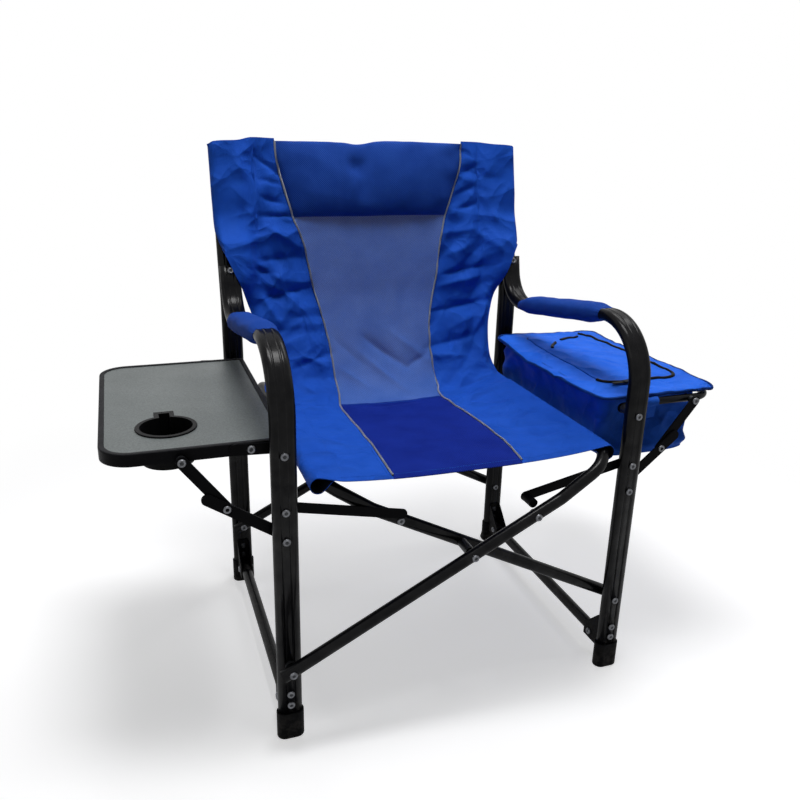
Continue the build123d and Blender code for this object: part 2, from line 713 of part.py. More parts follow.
with BuildPart() as bag_tabs:
    loop = bag_tube / 2 + gap
    for leg_y, turn in ((front_y, 1), (rear_y, -1)):
        tube_y = leg_y + turn * bag_tube_inset
        bag_y = leg_y + turn * bag_inset
        with BuildSketch(Plane.YZ.offset(middle_x + tab_reach)):
            with Locations((tube_y, bag_tube_height)):
                Circle(loop + tab_sheet)
            with Locations(((tube_y + bag_y) / 2, bag_tube_height)):
                Rectangle(abs(bag_y - tube_y), 2 * tab_sheet)
            with Locations((tube_y, bag_tube_height)):
                Circle(loop, mode=Mode.SUBTRACT)
        extrude(amount=tab_width)
finish(bag_tabs, "bag_tabs")

# ---------------------------------------------------------------- sling: seat
sheet_edge = rail_height + tube_diameter / 2 + gap + sleeve


def seat_strip(y, sag, side):
    """Section of half the seat sheet across the chair at a depth y, hanging by a sag in the middle."""
    sign = sides[side]
    with BuildSketch(Plane.XZ.offset(-y)) as strip:
        with BuildLine():
            top = ThreePointArc(
                (middle_x + sign * rail_x, sheet_edge),
                (middle_x + sign * rail_x * 0.5, sheet_edge - sag * 0.75),
                (middle_x + sign * gap / 2, sheet_edge - sag),
            )
            low = ThreePointArc(
                (middle_x + sign * rail_x, sheet_edge - sleeve),
                (middle_x + sign * rail_x * 0.5, sheet_edge - sag * 0.75 - fabric),
                (middle_x + sign * gap / 2, sheet_edge - sag - fabric),
            )
            Line(top @ 0, low @ 0)
            Line(top @ 1, low @ 1)
        make_face()
    return strip.sketch


def seat_half(side):
    """Half of the seat sheet, front hem to rear seam."""
    hem = seat_strip(front_y + seat_front, seat_sag_front, side)
    rear = seat_strip(front_y + seat_rear, seat_sag_rear, side)
    loft([hem, rear])


for side, sign in sides.items():
    seam = Plane.YZ.offset(middle_x + sign * insert_half)
    outward = Keep.TOP if sign > 0 else Keep.BOTTOM
    inward = Keep.BOTTOM if sign > 0 else Keep.TOP
    with BuildPart() as seat_insert:
        seat_half(side)
        split(bisect_by=seam, keep=inward)
    finish(seat_insert, f"seat_insert_{side}")

    shift = tube_offset if side == "left" else -tube_offset
    ring_start = front_y + shift + rail_corner_radius
    ring_end = min(rear_y + shift - rail_corner_radius, front_y + rail_sleeve_end)
    with BuildPart() as seat_side:
        seat_half(side)
        split(bisect_by=seam, keep=outward)
        with BuildSketch(Plane.XZ.offset(-ring_start)):
            with Locations((middle_x + sign * rail_x, rail_height)):
                Circle(tube_diameter / 2 + gap + sleeve)
        extrude(amount=-(ring_end - ring_start))
        with BuildSketch(Plane.XZ.offset(-ring_start)):
            with Locations((middle_x + sign * rail_x, rail_height)):
                Circle(tube_diameter / 2 + gap)
        extrude(amount=-(ring_end - ring_start), mode=Mode.SUBTRACT)
    finish(seat_side, f"seat_side_{side}")

# ---------------------------------------------------------------- sling: back
panel_edge = leg_gap / 2 - oval_wide / 2 - gap - sleeve
rail_clear = rail_x - tube_diameter / 2 - 2 * gap - sleeve
seat_join = sheet_edge - seat_sag_rear
seam_y = front_y + seat_rear + gap
back_y = {z: rear_y + (z - post_bend_height) * tan(lean) for z in (sleeve_bottom, back_top)}


def back_half(side):
    """Half of the back sheet: its side view, pulled out across the chair, then cut to its outline."""
    sign = sides[side]
    with BuildSketch(Plane.YZ.offset(middle_x + sign * gap / 2)) as side_view:
        with BuildLine():
            front_edge = Spline(
                (seam_y, seat_join),
                *[(seam_y + behind, seat_join + above) for behind, above in back_rise],
                (back_y[sleeve_bottom], sleeve_bottom),
                tangents=((1, 0.3), (sin(lean), cos(lean))),
            )
            rear_points = []
            for step in range(sheet_steps + 1):
                tangent = front_edge % (step / sheet_steps)
                behind = Vector(tangent.Y, -tangent.X) * fabric
                rear_points.append((front_edge @ (step / sheet_steps)) + behind)
            Spline(*rear_points, tangents=(front_edge % 0, front_edge % 1))
            top_front = (back_y[back_top], back_top)
            top_rear = (back_y[back_top] + fabric * cos(lean), back_top - fabric * sin(lean))
            Polyline(front_edge @ 1, top_front, top_rear, rear_points[-1])
            Line(front_edge @ 0, rear_points[0])
        make_face()
    extrude(side_view.sketch, amount=sign * (panel_edge - gap / 2))
    with BuildSketch(Plane.XZ.offset(-front_y)) as front_view:
        with BuildLine():
            Polyline(
                (middle_x, seat_join - fabric * 2),
                (middle_x, back_top + 1),
                (middle_x + sign * (panel_edge - corner_reach), back_top + 1),
                (middle_x + sign * panel_edge, back_top - corner_drop),
                (middle_x + sign * panel_edge, sleeve_bottom),
            )
            Spline(
                (middle_x + sign * panel_edge, sleeve_bottom),
                *[(middle_x + sign * half, height) for height, half in free_edge],
                (middle_x + sign * (rail_clear + fabric), sheet_edge + fabric),
            )
            Polyline(
                (middle_x + sign * (rail_clear + fabric), sheet_edge + fabric),
                (middle_x + sign * rail_clear, sheet_edge),
                (middle_x + sign * rail_clear, seat_join - fabric * 2),
                (middle_x, seat_join - fabric * 2),
            )
        make_face()
    extrude(front_view.sketch, amount=-2 * leg_depth, mode=Mode.INTERSECT)


def insert_block(side, mode):
    """Keep or cut what lies between the chair's middle and the seam of the back's insert."""
    sign = sides[side]
    with BuildSketch(Plane.XZ.offset(-front_y)) as insert_view:
        with BuildLine():
            Spline(
                (middle_x + sign * insert_top_half, back_top + 2),
                *[(middle_x + sign * half, height) for height, half in insert_seam],
                (middle_x + sign * insert_half, seat_join - fabric * 3),
            )
            Polyline(
                (middle_x + sign * insert_half, seat_join - fabric * 3),
                (middle_x - sign * gap, seat_join - fabric * 3),
                (middle_x - sign * gap, back_top + 2),
                (middle_x + sign * insert_top_half, back_top + 2),
            )
        make_face()
    extrude(insert_view.sketch, amount=-2 * leg_depth, mode=mode)


for side, sign in sides.items():
    x = leg_x[side]
    outward = Keep.TOP if sign > 0 else Keep.BOTTOM
    with BuildPart() as back_mesh:
        back_half(side)
        insert_block(side, Mode.INTERSECT)
    finish(back_mesh, f"back_mesh_{side}")

    with BuildPart() as back_side:
        back_half(side)
        insert_block(side, Mode.SUBTRACT)
    finish(back_side, f"back_side_{side}")

    with BuildPart() as back_sleeve:
        sleeve_base = (sleeve_bottom - post_bend_height) / cos(lean)
        sleeve_end = (back_top - post_bend_height) / cos(lean) - 6
        sleeve_plane = Plane(
            origin=(x, rear_y + sleeve_base * sin(lean), post_bend_height + sleeve_base * cos(lean)),
            x_dir=(1, 0, 0),
            z_dir=(0, sin(lean), cos(lean)),
        )
        outer = 2 * (gap + sleeve)
        with BuildSketch(sleeve_plane):
            SlotOverall(oval_wide + outer, oval_thick + outer)
        extrude(amount=sleeve_end - sleeve_base)
        fillet(back_sleeve.faces().sort_by(post_axis)[-1].edges(), 4)
        with BuildSketch(sleeve_plane):
            SlotOverall(oval_wide + 2 * gap, oval_thick + 2 * gap)
        extrude(amount=sleeve_end - sleeve_base - sleeve, mode=Mode.SUBTRACT)
    finish(back_sleeve, f"back_sleeve_{side}")

    with BuildPart() as headrest:
        pillow_base = (pillow_bottom - post_bend_height) / cos(lean)
        pillow_end = (back_top - pillow_drop - post_bend_height) / cos(lean)
        with BuildSketch(post_plane.offset(gap)) as pillow:
            with BuildLine():
                Polyline(
                    (-pillow_bottom_half, pillow_base),
                    (pillow_bottom_half, pillow_base),
                    (pillow_top_half, pillow_end),
                    (-pillow_top_half, pillow_end),
                    close=True,
                )
            make_face()
            fillet(pillow.vertices(), pillow_corner)
        extrude(amount=pillow_thick)
        fillet(headrest.faces().sort_by(Axis((0, 0, 0), tuple(post_plane.z_dir)))[-1].edges(), pillow_thick * 0.45)
        split(bisect_by=Plane.YZ.offset(middle_x + sign * gap / 2), keep=outward)
    finish(headrest, f"headrest_{side}")
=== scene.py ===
"""Folding camp chair with a side table and a cooler bag: its surfaces, fabric and fittings."""

import math

import bmesh
import bpy
from mathutils import Matrix, Vector, noise


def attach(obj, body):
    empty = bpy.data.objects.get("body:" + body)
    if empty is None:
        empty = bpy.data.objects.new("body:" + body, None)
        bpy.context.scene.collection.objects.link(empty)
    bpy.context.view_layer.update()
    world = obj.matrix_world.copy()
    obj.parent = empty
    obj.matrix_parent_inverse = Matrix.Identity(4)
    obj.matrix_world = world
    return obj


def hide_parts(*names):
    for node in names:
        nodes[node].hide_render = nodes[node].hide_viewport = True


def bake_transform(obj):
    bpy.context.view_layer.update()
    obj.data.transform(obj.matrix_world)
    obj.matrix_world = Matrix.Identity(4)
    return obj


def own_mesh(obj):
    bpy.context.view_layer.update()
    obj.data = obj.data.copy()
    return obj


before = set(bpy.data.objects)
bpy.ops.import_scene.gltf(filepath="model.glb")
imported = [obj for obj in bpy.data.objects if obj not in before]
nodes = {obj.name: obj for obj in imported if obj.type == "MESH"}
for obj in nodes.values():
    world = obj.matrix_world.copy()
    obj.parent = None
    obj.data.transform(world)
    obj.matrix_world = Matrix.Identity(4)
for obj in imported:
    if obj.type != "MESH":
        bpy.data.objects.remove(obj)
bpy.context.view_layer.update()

# ------------------------ studio
# A white floor that keeps the chair's soft shadow, one large lamp above and in front, weaker ones from
# the side and the rear, and the camera in front of the chair, a little to its left and above the seat.
scene = bpy.context.scene
scene.view_settings.view_transform = "Standard"
camera_at, camera_lens = (-0.45680, -1.26581, 0.92249), 35.465
yaw, pitch, roll = math.radians(19.818), math.radians(19.264), math.radians(1.411)


def add_object(name, data):
    """A new object in the scene."""
    made = bpy.data.objects.new(name, data)
    scene.collection.objects.link(made)
    return made


def add_mesh(name, mesh, *materials):
    """A new object from a finished bmesh, with its materials."""
    data = bpy.data.meshes.new(name)
    mesh.to_mesh(data)
    mesh.free()
    for material in materials:
        data.materials.append(material)
    return add_object(name, data)


camera = add_object("camera", bpy.data.cameras.new("camera"))
scene.camera = camera
aimed = Matrix.Rotation(-yaw, 4, "Z") @ Matrix.Rotation(math.pi / 2 - pitch, 4, "X")
camera.matrix_world = Matrix.Translation(camera_at) @ aimed @ Matrix.Rotation(roll, 4, "Z")
camera.data.sensor_width = 36
camera.data.lens = camera_lens
camera.data.clip_end = 60


def add_node(tree, kind, inputs=None, **settings):
    """A shader node; inputs takes values or the output sockets that feed them."""
    made = tree.nodes.new("ShaderNode" + kind)
    for name, value in settings.items():
        setattr(made, name, value)
    for name, value in (inputs or {}).items():
        if isinstance(value, bpy.types.NodeSocket):
            tree.links.new(value, made.inputs[name])
        else:
            made.inputs[name].default_value = value
    return made


def calculate(tree, operation, *values):
    """The result of one Math node."""
    return add_node(tree, "Math", dict(enumerate(values)), operation=operation).outputs[0]


def remap(tree, value, low, high, to_low=0.0, to_high=1.0, **settings):
    """A value moved from one range to another and held there."""
    ranges = {"Value": value, "From Min": low, "From Max": high, "To Min": to_low, "To Max": to_high}
    return add_node(tree, "MapRange", ranges, **settings).outputs["Result"]


def camera_share(tree):
    """1 for rays that show the background: seen, mirrored or through glass."""
    rays = add_node(tree, "LightPath").outputs
    seen = calculate(tree, "MAXIMUM", rays["Is Camera Ray"], rays["Is Glossy Ray"])
    return calculate(tree, "MAXIMUM", seen, rays["Is Transmission Ray"])


def area_lamp(name, place_at, aim, size, watts):
    """A soft rectangular lamp that points at a place."""
    lamp = add_object(name, bpy.data.lights.new(name, "AREA"))
    lamp.data.shape = "RECTANGLE"
    lamp.data.size, lamp.data.size_y = size
    lamp.data.energy = watts
    lamp.location = place_at
    lamp.rotation_mode = "QUATERNION"
    lamp.rotation_quaternion = (Vector(aim) - Vector(place_at)).to_track_quat("-Z", "Y")


area_lamp("key_lamp", (-0.1, -0.15, 2.6), (0, 0, 0.4), (1.0, 0.6), 36)
area_lamp("side_lamp", (-2.2, -0.5, 1.7), (0, 0, 0.4), (0.6, 1.2), 2.5)
area_lamp("rear_lamp", (1.2, 0.7, 2.3), (0, 0, 0.5), (1.2, 0.7), 14)

# the sky lights the chair with sky_level and looks white
sky_level, floor_lift, floor_radius = 0.08, 0.52, 12
fade_from, fade_to = 0.75, 1.5
scene.world = bpy.data.worlds.new("sky")
scene.world.use_nodes = True
tree = scene.world.node_tree
sky_strength = calculate(tree, "MULTIPLY_ADD", camera_share(tree), 1 - sky_level, sky_level)
tree.nodes["Background"].inputs["Color"].default_value = (1, 1, 1, 1)
tree.links.new(sky_strength, tree.nodes["Background"].inputs["Strength"])

# the floor is lit near the chair and turns to plain white further out
floor_material = bpy.data.materials.new("white_floor")
floor_material.use_nodes = True
tree = floor_material.node_tree
tree.nodes.clear()
where = add_node(tree, "TexCoord").outputs["Object"]
distance = add_node(tree, "VectorMath", {0: where}, operation="LENGTH").outputs["Value"]
far = remap(tree, distance, fade_from, fade_to, interpolation_type="SMOOTHSTEP")
lit = add_node(tree, "BsdfDiffuse", {"Color": (0.8, 0.8, 0.81, 1)}).outputs[0]
strength = calculate(tree, "MULTIPLY", camera_share(tree), floor_lift)
lift = add_node(tree, "Emission", {"Strength": strength}).outputs[0]
near_floor = add_node(tree, "AddShader", {0: lit, 1: lift}).outputs[0]
far_floor = add_node(tree, "Emission", {"Strength": 1.0}).outputs[0]
share = calculate(tree, "MULTIPLY", far, camera_share(tree))
surface = add_node(tree, "MixShader", {0: share, 1: near_floor, 2: far_floor}).outputs[0]
add_node(tree, "OutputMaterial", {"Surface": surface})
mesh = bmesh.new()
bmesh.ops.create_circle(mesh, cap_ends=True, segments=64, radius=floor_radius)
add_mesh("floor", mesh, floor_material)


# ------------------------ steel frame
# Flat-oval and round steel tube, bent cold and powder coated satin black. The coat has a fine orange
# peel, is dusty low down where the legs stand in grit, and varies in patches.
def principled(name, **values):
    """A material, its tree and its shader with plain values set on the shader's own sockets."""
    material = bpy.data.materials.new(name)
    material.use_nodes = True
    shader = material.node_tree.nodes["Principled BSDF"]
    for socket, value in values.items():
        shader.inputs[socket.replace("_", " ")].default_value = value
    return material, material.node_tree, shader


def connect(node, **sockets):
    """Feed a node's named inputs."""
    for socket, value in sockets.items():
        node.id_data.links.new(value, node.inputs[socket.replace("_", " ")])


def mix_colour(tree, share, one, two):
    """Colour one where share is 0 and two where it is 1."""
    values = {0: share, 6: one, 7: two}
    return add_node(tree, "Mix", values, data_type="RGBA", clamp_factor=True).outputs[2]


def noise_at(tree, vector, scale, detail, roughness=0.5):
    """A noise pattern's value."""
    values = {"Vector": vector, "Scale": scale, "Detail": detail, "Roughness": roughness}
    return add_node(tree, "TexNoise", values).outputs[0]


def relief(tree, height, strength, depth, **inputs):
    """The normal of a surface with a height on it."""
    values = {"Height": height, "Strength": strength, "Distance": depth, **inputs}
    return add_node(tree, "Bump", values).outputs[0]


def group(name, inputs, outputs):
    """An empty node group: its tree, the sockets that feed it and the node its outputs go to."""
    made = bpy.data.node_groups.new(name, "ShaderNodeTree")
    for way, names in (("INPUT", inputs), ("OUTPUT", outputs)):
        for socket in names:
            kind = "NodeSocketVector" if socket == "Vector" else "NodeSocketFloat"
            made.interface.new_socket(socket, in_out=way, socket_type=kind)
    return made, made.nodes.new("NodeGroupInput").outputs, made.nodes.new("NodeGroupOutput")


coat_grain, feed, result = group("coat_grain", ("Vector", "Grain", "Patch"), ("Height", "Fine", "Patches"))
peel = noise_at(coat_grain, feed["Vector"], feed["Grain"], 3, 0.6)
cells = add_node(coat_grain, "TexVoronoi", {"Vector": feed["Vector"], "Scale": feed["Grain"]})
height = calculate(coat_grain, "MULTIPLY_ADD", cells.outputs["Distance"], 0.5, peel)
patches = noise_at(coat_grain, feed["Vector"], feed["Patch"], 5, 0.65)
connect(result, Height=height, Fine=peel, Patches=patches)


def place_and_grain(tree, grain, patch):
    """Places on the piece, and the coat's grain there."""
    where = add_node(tree, "TexCoord").outputs["Object"]
    values = {"Vector": where, "Grain": grain, "Patch": patch}
    return where, add_node(tree, "Group", values, node_tree=coat_grain).outputs


def low_down(tree, where, high, low):
    """0 above a height and 1 below a lower one."""
    return remap(tree, add_node(tree, "SeparateXYZ", {0: where}).outputs["Z"], high, low)


def coated_steel(name, dark, pale, roughness, bump, coat_share):
    """Powder coat: darker and paler black in patches, with an orange peel and dust near the ground."""
    material, tree, shader = principled(
        name, Metallic=0.0, Specular_IOR_Level=0.02, Coat_Roughness=0.17, Coat_IOR=1.45
    )
    where, grain = place_and_grain(tree, 1100.0, 38.0)
    dusty = remap(tree, grain["Patches"], 0.5, 0.62, 0.0, 0.5)
    dusty = calculate(tree, "MULTIPLY", low_down(tree, where, 0.16, 0.02), dusty)
    colour = mix_colour(tree, remap(tree, grain["Patches"], 0.35, 0.7), dark, pale)
    rough = calculate(tree, "MULTIPLY_ADD", grain["Fine"], 0.16, roughness - 0.08)
    connect(
        shader,
        Base_Color=mix_colour(tree, dusty, colour, (0.075, 0.07, 0.064, 1)),
        Roughness=calculate(tree, "MULTIPLY_ADD", dusty, 0.3, rough),
        Coat_Weight=remap(tree, grain["Patches"], 0.3, 0.7, coat_share, coat_share * 0.4),
        Normal=relief(tree, grain["Height"], bump, 0.0004),
    )
    return material


def dress(material, *names):
    """Give CAD nodes a material; a name that ends in _ is for its left and right nodes."""
    for name in names:
        for node in (name + "left", name + "right") if name[-1] == "_" else (name,):
            data = nodes[node].data
            data.materials.clear()
            data.materials.append(material)
            data.polygons.foreach_set("material_index", [0] * len(data.polygons))


tube_dark, tube_pale = (0.0012, 0.0012, 0.0018, 1), (0.0032, 0.0032, 0.0042, 1)
tube_coat = coated_steel("tube_coat", tube_dark, tube_pale, 0.34, 0.5, 0.32)
flat_dark, flat_pale = (0.0026, 0.0026, 0.0033, 1), (0.0055, 0.0055, 0.0065, 1)
flat_coat = coated_steel("flat_coat", flat_dark, flat_pale, 0.42, 0.4, 0.03)
dress(tube_coat, "rear_post_", "side_rail_", "scissor_a_tube", "scissor_b_tube", "bag_frame")
dress(flat_coat, "rail_brackets_", "seat_links_", "brace_lower_", "brace_upper_", "table_hinge_bars")


# ------------------------ plastic mouldings
# Feet, post caps, the table's edge band and the cup holder, injection moulded in black nylon with a
# fine spark texture; the feet are dusty and rubbed pale at the sole.
def moulded_plastic(name, base, roughness, grain_scale, scuff=0.0):
    """Matt moulded plastic with a spark texture; scuff is how dusty it is near the ground."""
    material, tree, shader = principled(name, Specular_IOR_Level=0.03)
    where, grain = place_and_grain(tree, grain_scale, 55.0)
    worn = remap(tree, grain["Patches"], 0.42, 0.62, 0.0, scuff)
    worn = calculate(tree, "MULTIPLY", low_down(tree, where, 0.05, 0.0), worn)
    pale = tuple(c * 1.7 for c in base) + (1,)
    colour = mix_colour(tree, remap(tree, grain["Patches"], 0.35, 0.7), (*base, 1), pale)
    connect(
        shader,
        Base_Color=mix_colour(tree, worn, colour, (0.12, 0.11, 0.1, 1)),
        Roughness=calculate(tree, "MULTIPLY_ADD", grain["Fine"], 0.2, roughness - 0.1),
        Normal=relief(tree, grain["Height"], 0.5, 0.0003),
    )
    return material


foot_plastic = moulded_plastic("foot_plastic", (0.004, 0.004, 0.0045), 0.5, 700.0, scuff=0.4)
rim_plastic = moulded_plastic("rim_plastic", (0.0045, 0.0045, 0.0055), 0.42, 900.0)
cup_plastic = moulded_plastic("cup_plastic", (0.006, 0.006, 0.0065), 0.3, 500.0)
dress(foot_plastic, "foot_front_", "foot_rear_", "post_cap_")
dress(rim_plastic, "table_rim", "zip_pull")
dress(cup_plastic, "cup_holder")

# ------------------------ table top
# A board faced with grey melamine laminate: a fine printed speckle and dark flecks under a satin wear
# layer that is a little darker in large, soft patches.
laminate, tree, shader = principled("grey_laminate", Specular_IOR_Level=0.1)
where = add_node(tree, "TexCoord").outputs["Object"]
speckle = noise_at(tree, where, 420.0, 4, 0.8)
flecks = add_node(tree, "TexVoronoi", {"Vector": where, "Scale": 520.0}).outputs["Distance"]
cloud = noise_at(tree, where, 9.0, 3)
greys = (0.12, 0.134, 0.133, 1), (0.185, 0.203, 0.202, 1)
colour = mix_colour(tree, remap(tree, speckle, 0.38, 0.62), *greys)
colour = mix_colour(tree, remap(tree, flecks, 0.22, 0.1, 0.0, 0.4), colour, (0.08, 0.088, 0.09, 1))
connect(
    shader,
    Base_Color=mix_colour(tree, remap(tree, cloud, 0.4, 0.7, 0.0, 0.25), colour, (0.12, 0.13, 0.13, 1)),
    Roughness=remap(tree, cloud, 0.3, 0.7, 0.36, 0.46),
    Normal=relief(tree, speckle, 0.25, 0.0002),
)
dress(laminate, "table_panel")


# ------------------------ rivets
# Zinc plated tubular rivets: a dished head, rolled over at its rim, with painted shade of a hole in its
# middle.
# Each stands over the plain head of the solid pin that it finishes.
def zinc(name, base, roughness):
    """Dull plated steel with fine turning marks and darker patches."""
    material, tree, shader = principled(name, Metallic=0.9)
    _, grain = place_and_grain(tree, 1500.0, 260.0)
    dark = tuple(c * 0.5 for c in base) + (1,)
    connect(
        shader,
        Base_Color=mix_colour(tree, remap(tree, grain["Patches"], 0.35, 0.65), dark, (*base, 1)),
        Roughness=remap(tree, grain["Fine"], 0.3, 0.7, roughness - 0.08, roughness + 0.1),
        Normal=relief(tree, grain["Fine"], 0.3, 0.0002),
    )
    return material


zinc_plate = zinc("zinc_plate", (0.17, 0.175, 0.19), 0.34)
pin_plate = zinc("pin_plate", (0.04, 0.042, 0.046), 0.42)
# the dish in each rivet's middle is painted near black: painted shade standing in for a deep hole
rivet_hole_shade = moulded_plastic("rivet_hole_shade", (0.012, 0.012, 0.013), 0.5, 900.0)
dress(pin_plate, "frame_pins_", "scissor_a_rivets", "scissor_b_rivets")
dress(pin_plate, "crossing_pins", "table_pins", "bag_pins")

front_legs_in_frame = Vector((0.02475, -0.258433, 0.0))


def place(x, y, z):
    """A point given in millimetres from the chair's middle and its front legs, in the frame's metres."""
    return Vector((x, y, z)) / 1000 + front_legs_in_frame


def keep(name, mesh, *materials, sharp=None):
    """Make an object of a finished bmesh, smooth up to the angle sharp, with outward normals."""
    bmesh.ops.remove_doubles(mesh, verts=mesh.verts, dist=1e-6)
    bmesh.ops.recalc_face_normals(mesh, faces=mesh.faces)
    for face in mesh.faces:
        face.smooth = True
    made = add_mesh(name, mesh, *materials)
    if sharp:
        made.data.set_sharp_from_angle(angle=math.radians(sharp))
    return made


def fit(made, body=None, instead_of=None):
    """Hide the CAD node that a piece stands for and set the piece on the body it rides on."""
    if instead_of:
        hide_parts(instead_of)
    if body:
        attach(made, body)


def set_copies(mesh, places):
    """Copy the whole mesh to each place, a point and the way it faces, and delete the first."""
    first = [*mesh.verts, *mesh.edges, *mesh.faces]
    for at, facing in places:
        copy = bmesh.ops.duplicate(mesh, geom=first)["geom"]
        turn = Vector(facing).to_track_quat("Z", "Y").to_matrix().to_4x4()
        copied = [v for v in copy if isinstance(v, bmesh.types.BMVert)]
        bmesh.ops.transform(mesh, matrix=Matrix.Translation(at) @ turn, verts=copied)
    bmesh.ops.delete(mesh, geom=[v for v in first if isinstance(v, bmesh.types.BMVert)], context="VERTS")


# radius and height round a head, from its foot to the bottom of its hollow
head_outline = [(6.2, 0), (6.1, 1.3), (5.2, 2.6), (4.3, 3.1), (3.3, 2.9), (2.6, 2.2), (2.1, 1.2), (0, 1)]
hollow_radius = 2.4


def rivet_heads(name, body, heads):
    """Spin one dished head and set it at each place, facing the way given."""
    mesh = bmesh.new()
    ring = [mesh.verts.new((r / 1000, 0, z / 1000)) for r, z in head_outline]
    edges = [mesh.edges.new(pair) for pair in zip(ring, ring[1:])]
    axis, angle = (0, 0, 1), 2 * math.pi
    bmesh.ops.spin(mesh, geom=ring + edges, cent=(0, 0, 0), axis=axis, angle=angle, steps=16, use_merge=True)
    bmesh.ops.remove_doubles(mesh, verts=mesh.verts, dist=1e-6)
    bmesh.ops.recalc_face_normals(mesh, faces=mesh.faces)
    for face in mesh.faces:
        # faces inside hollow_radius take the painted hole shade
        face.material_index = int(face.calc_center_median().xy.length < hollow_radius / 1000)
    set_copies(mesh, heads)
    fit(keep(name, mesh, zinc_plate, rivet_hole_shade), body)


sides = (("left", -1), ("right", 1))
forward, rearward = (0, -1, 0), (0, 1, 0)
leg_x, leg_planes, tube_half = 290.0, (0.0, 480.0), 10.0
link_z, leg_pins_z, scissor_foot_z, riser_pin_up = 397, (83, 63, 350, 484), 138, 56.0
lean = math.radians(12)
up_post = Vector((0, math.sin(lean), math.cos(lean)))
off_post = Vector((0, -math.cos(lean), math.sin(lean)))
crossing_z, scissor_rise = 288, 150 / 290


def at_both_ends(x, y, z):
    """A head in front and one behind, at the same distance from the nearer legs."""
    return [(place(x, y, z), forward), (place(x, leg_planes[1] - y, z), rearward)]


for side, sign in sides:
    heads = []
    for leg_y, inward in zip(leg_planes, (1, -1)):
        heads.append((place(sign * leg_x, leg_y - tube_half, link_z), forward))
        for z in leg_pins_z:
            heads.append((place(sign * leg_x, leg_y - inward * tube_half, z), (0, -inward, 0)))
        scissor_off = 36.3 if side == "left" else tube_half
        heads.append((place(sign * leg_x, leg_y - scissor_off, scissor_foot_z), forward))
        for flank in (-1, 1):
            heads.append((place(sign * leg_x + flank * 12.3, leg_y + inward * 38, 45), (flank, 0, 0)))
    riser_pin = place(sign * leg_x, leg_planes[1], 600) + up_post * riser_pin_up / 1000
    heads.append((riser_pin + off_post * 0.0303, off_post))
    rivet_heads(f"rivets_frame_{side}", f"side_{side}", heads)
    knee_x, knee_z = (-369, 403) if side == "left" else (362, 411)
    rivet_heads(f"rivets_knee_{side}", f"brace_up_{side}", at_both_ends(knee_x, 13.4, knee_z))
at_scissor = ((106, crossing_z + 106 * scissor_rise), (0, crossing_z))
heads = [(place(x, y - 36, z), forward) for y in leg_planes for x, z in at_scissor]
rivet_heads("rivets_scissor_a", "scissor_a", heads)
rivet_heads("rivets_scissor_b", "scissor_b", [(place(-106, y + 16, 342.8), forward) for y in leg_planes])
rivet_heads("rivets_table", "table", at_both_ends(-426, 16.7, 480) + at_both_ends(-330, 25, 486))
rivet_heads("rivets_bag", "bag_frame", at_both_ends(422, 16.7, 490))

# ------------------------ table border
# The rim's moulded top edge: a black border, painted paler as highlight, that laps over the panel, with
# rounded outer corners.
# Its section is set at each inset from the rim's outer edge and joined round the table.
border_section = [(0.4, 494.0), (0.4, 495.3), (1.3, 496.1), (7.2, 496.1), (8.3, 495.5), (8.3, 493.0)]
# the border's black is painted paler than the rim's: a painted highlight on its upward face
painted_lit_border_plastic = moulded_plastic("painted_lit_border_plastic", (0.013, 0.013, 0.0145), 0.5, 900.0)
table_x, table_y, table_corner = (-533, -276), (28, 452), 45


def join_rings(mesh, rings):
    """Quads between rings of points, each closed on itself."""
    rings = [[mesh.verts.new(point) for point in ring] for ring in rings]
    for one, two in zip(rings, rings[1:]):
        for i in range(len(one)):
            j = (i + 1) % len(one)
            mesh.faces.new((one[i], one[j], two[j], two[i]))


def border_ring(inset, z):
    """Points round the table at an inset from its edge."""
    x0, x1 = table_x[0] + inset, table_x[1] - inset
    y0, y1, corner = table_y[0] + inset, table_y[1] - inset, table_corner - inset
    ring = [place(x1, y0, z)]
    for middle_y, start in ((y0 + corner, 270), (y1 - corner, 180)):
        for i in range(13):
            angle = math.radians(start - 7.5 * i)
            x, y = x0 + corner + corner * math.cos(angle), middle_y + corner * math.sin(angle)
            ring.append(place(x, y, z))
    return ring + [place(x1, y1, z)]


mesh = bmesh.new()
join_rings(mesh, [border_ring(inset, z) for inset, z in border_section])
fit(keep("table_border", mesh, painted_lit_border_plastic, sharp=40), "table")

# ------------------------ bent arm tubes
# Each front leg, armrest and riser is one fluted flat-oval steel tube, bent twice and powder coated.
# The section is swept up the leg, round the full front bend, along the falling arm and up its riser.
tube_wide, tube_thick, tube_wall = 38.0, 20.0, 0.0016
flute_radius, flute_depth, flute_aside = 3.0, 0.8, 6.0
tube_foot, riser_top = 6.0, 668.0
front_bend, rear_bend = 95.0, 70.0
arm_front, arm_fall = 645.0, math.tan(math.radians(9.0))


def riser_y(z):
    """Middle of the riser at a height: parallel to the leaning post and in front of it."""
    return 480 + (z - 600) * math.tan(lean) - (tube_thick + 0.3) / math.cos(lean)


def arm_height(y):
    """Height of the arm tube's centre."""
    return arm_front - y * arm_fall


def bent_line(corners, bends, step=4.0):
    """Points y, z along a line through the corners, each rounded by its bend's radius."""
    corners = [Vector(corner) for corner in corners]
    points = [corners[0]]
    for before, corner, after, radius in zip(corners, corners[1:], corners[2:], bends):
        way_in, way_out = (corner - before).normalized(), (after - corner).normalized()
        turn = way_in.angle(way_out)
        centre = corner + (way_out - way_in).normalized() * radius / math.cos(turn / 2)
        start = corner - way_in * radius * math.tan(turn / 2)
        if way_in.cross(way_out) < 0:
            turn = -turn
        count = int(abs(turn) * radius / step)
        for i in range(count + 1):
            points.append(centre + Matrix.Rotation(turn * i / count, 2) @ (start - centre))
    return points + [corners[-1]]


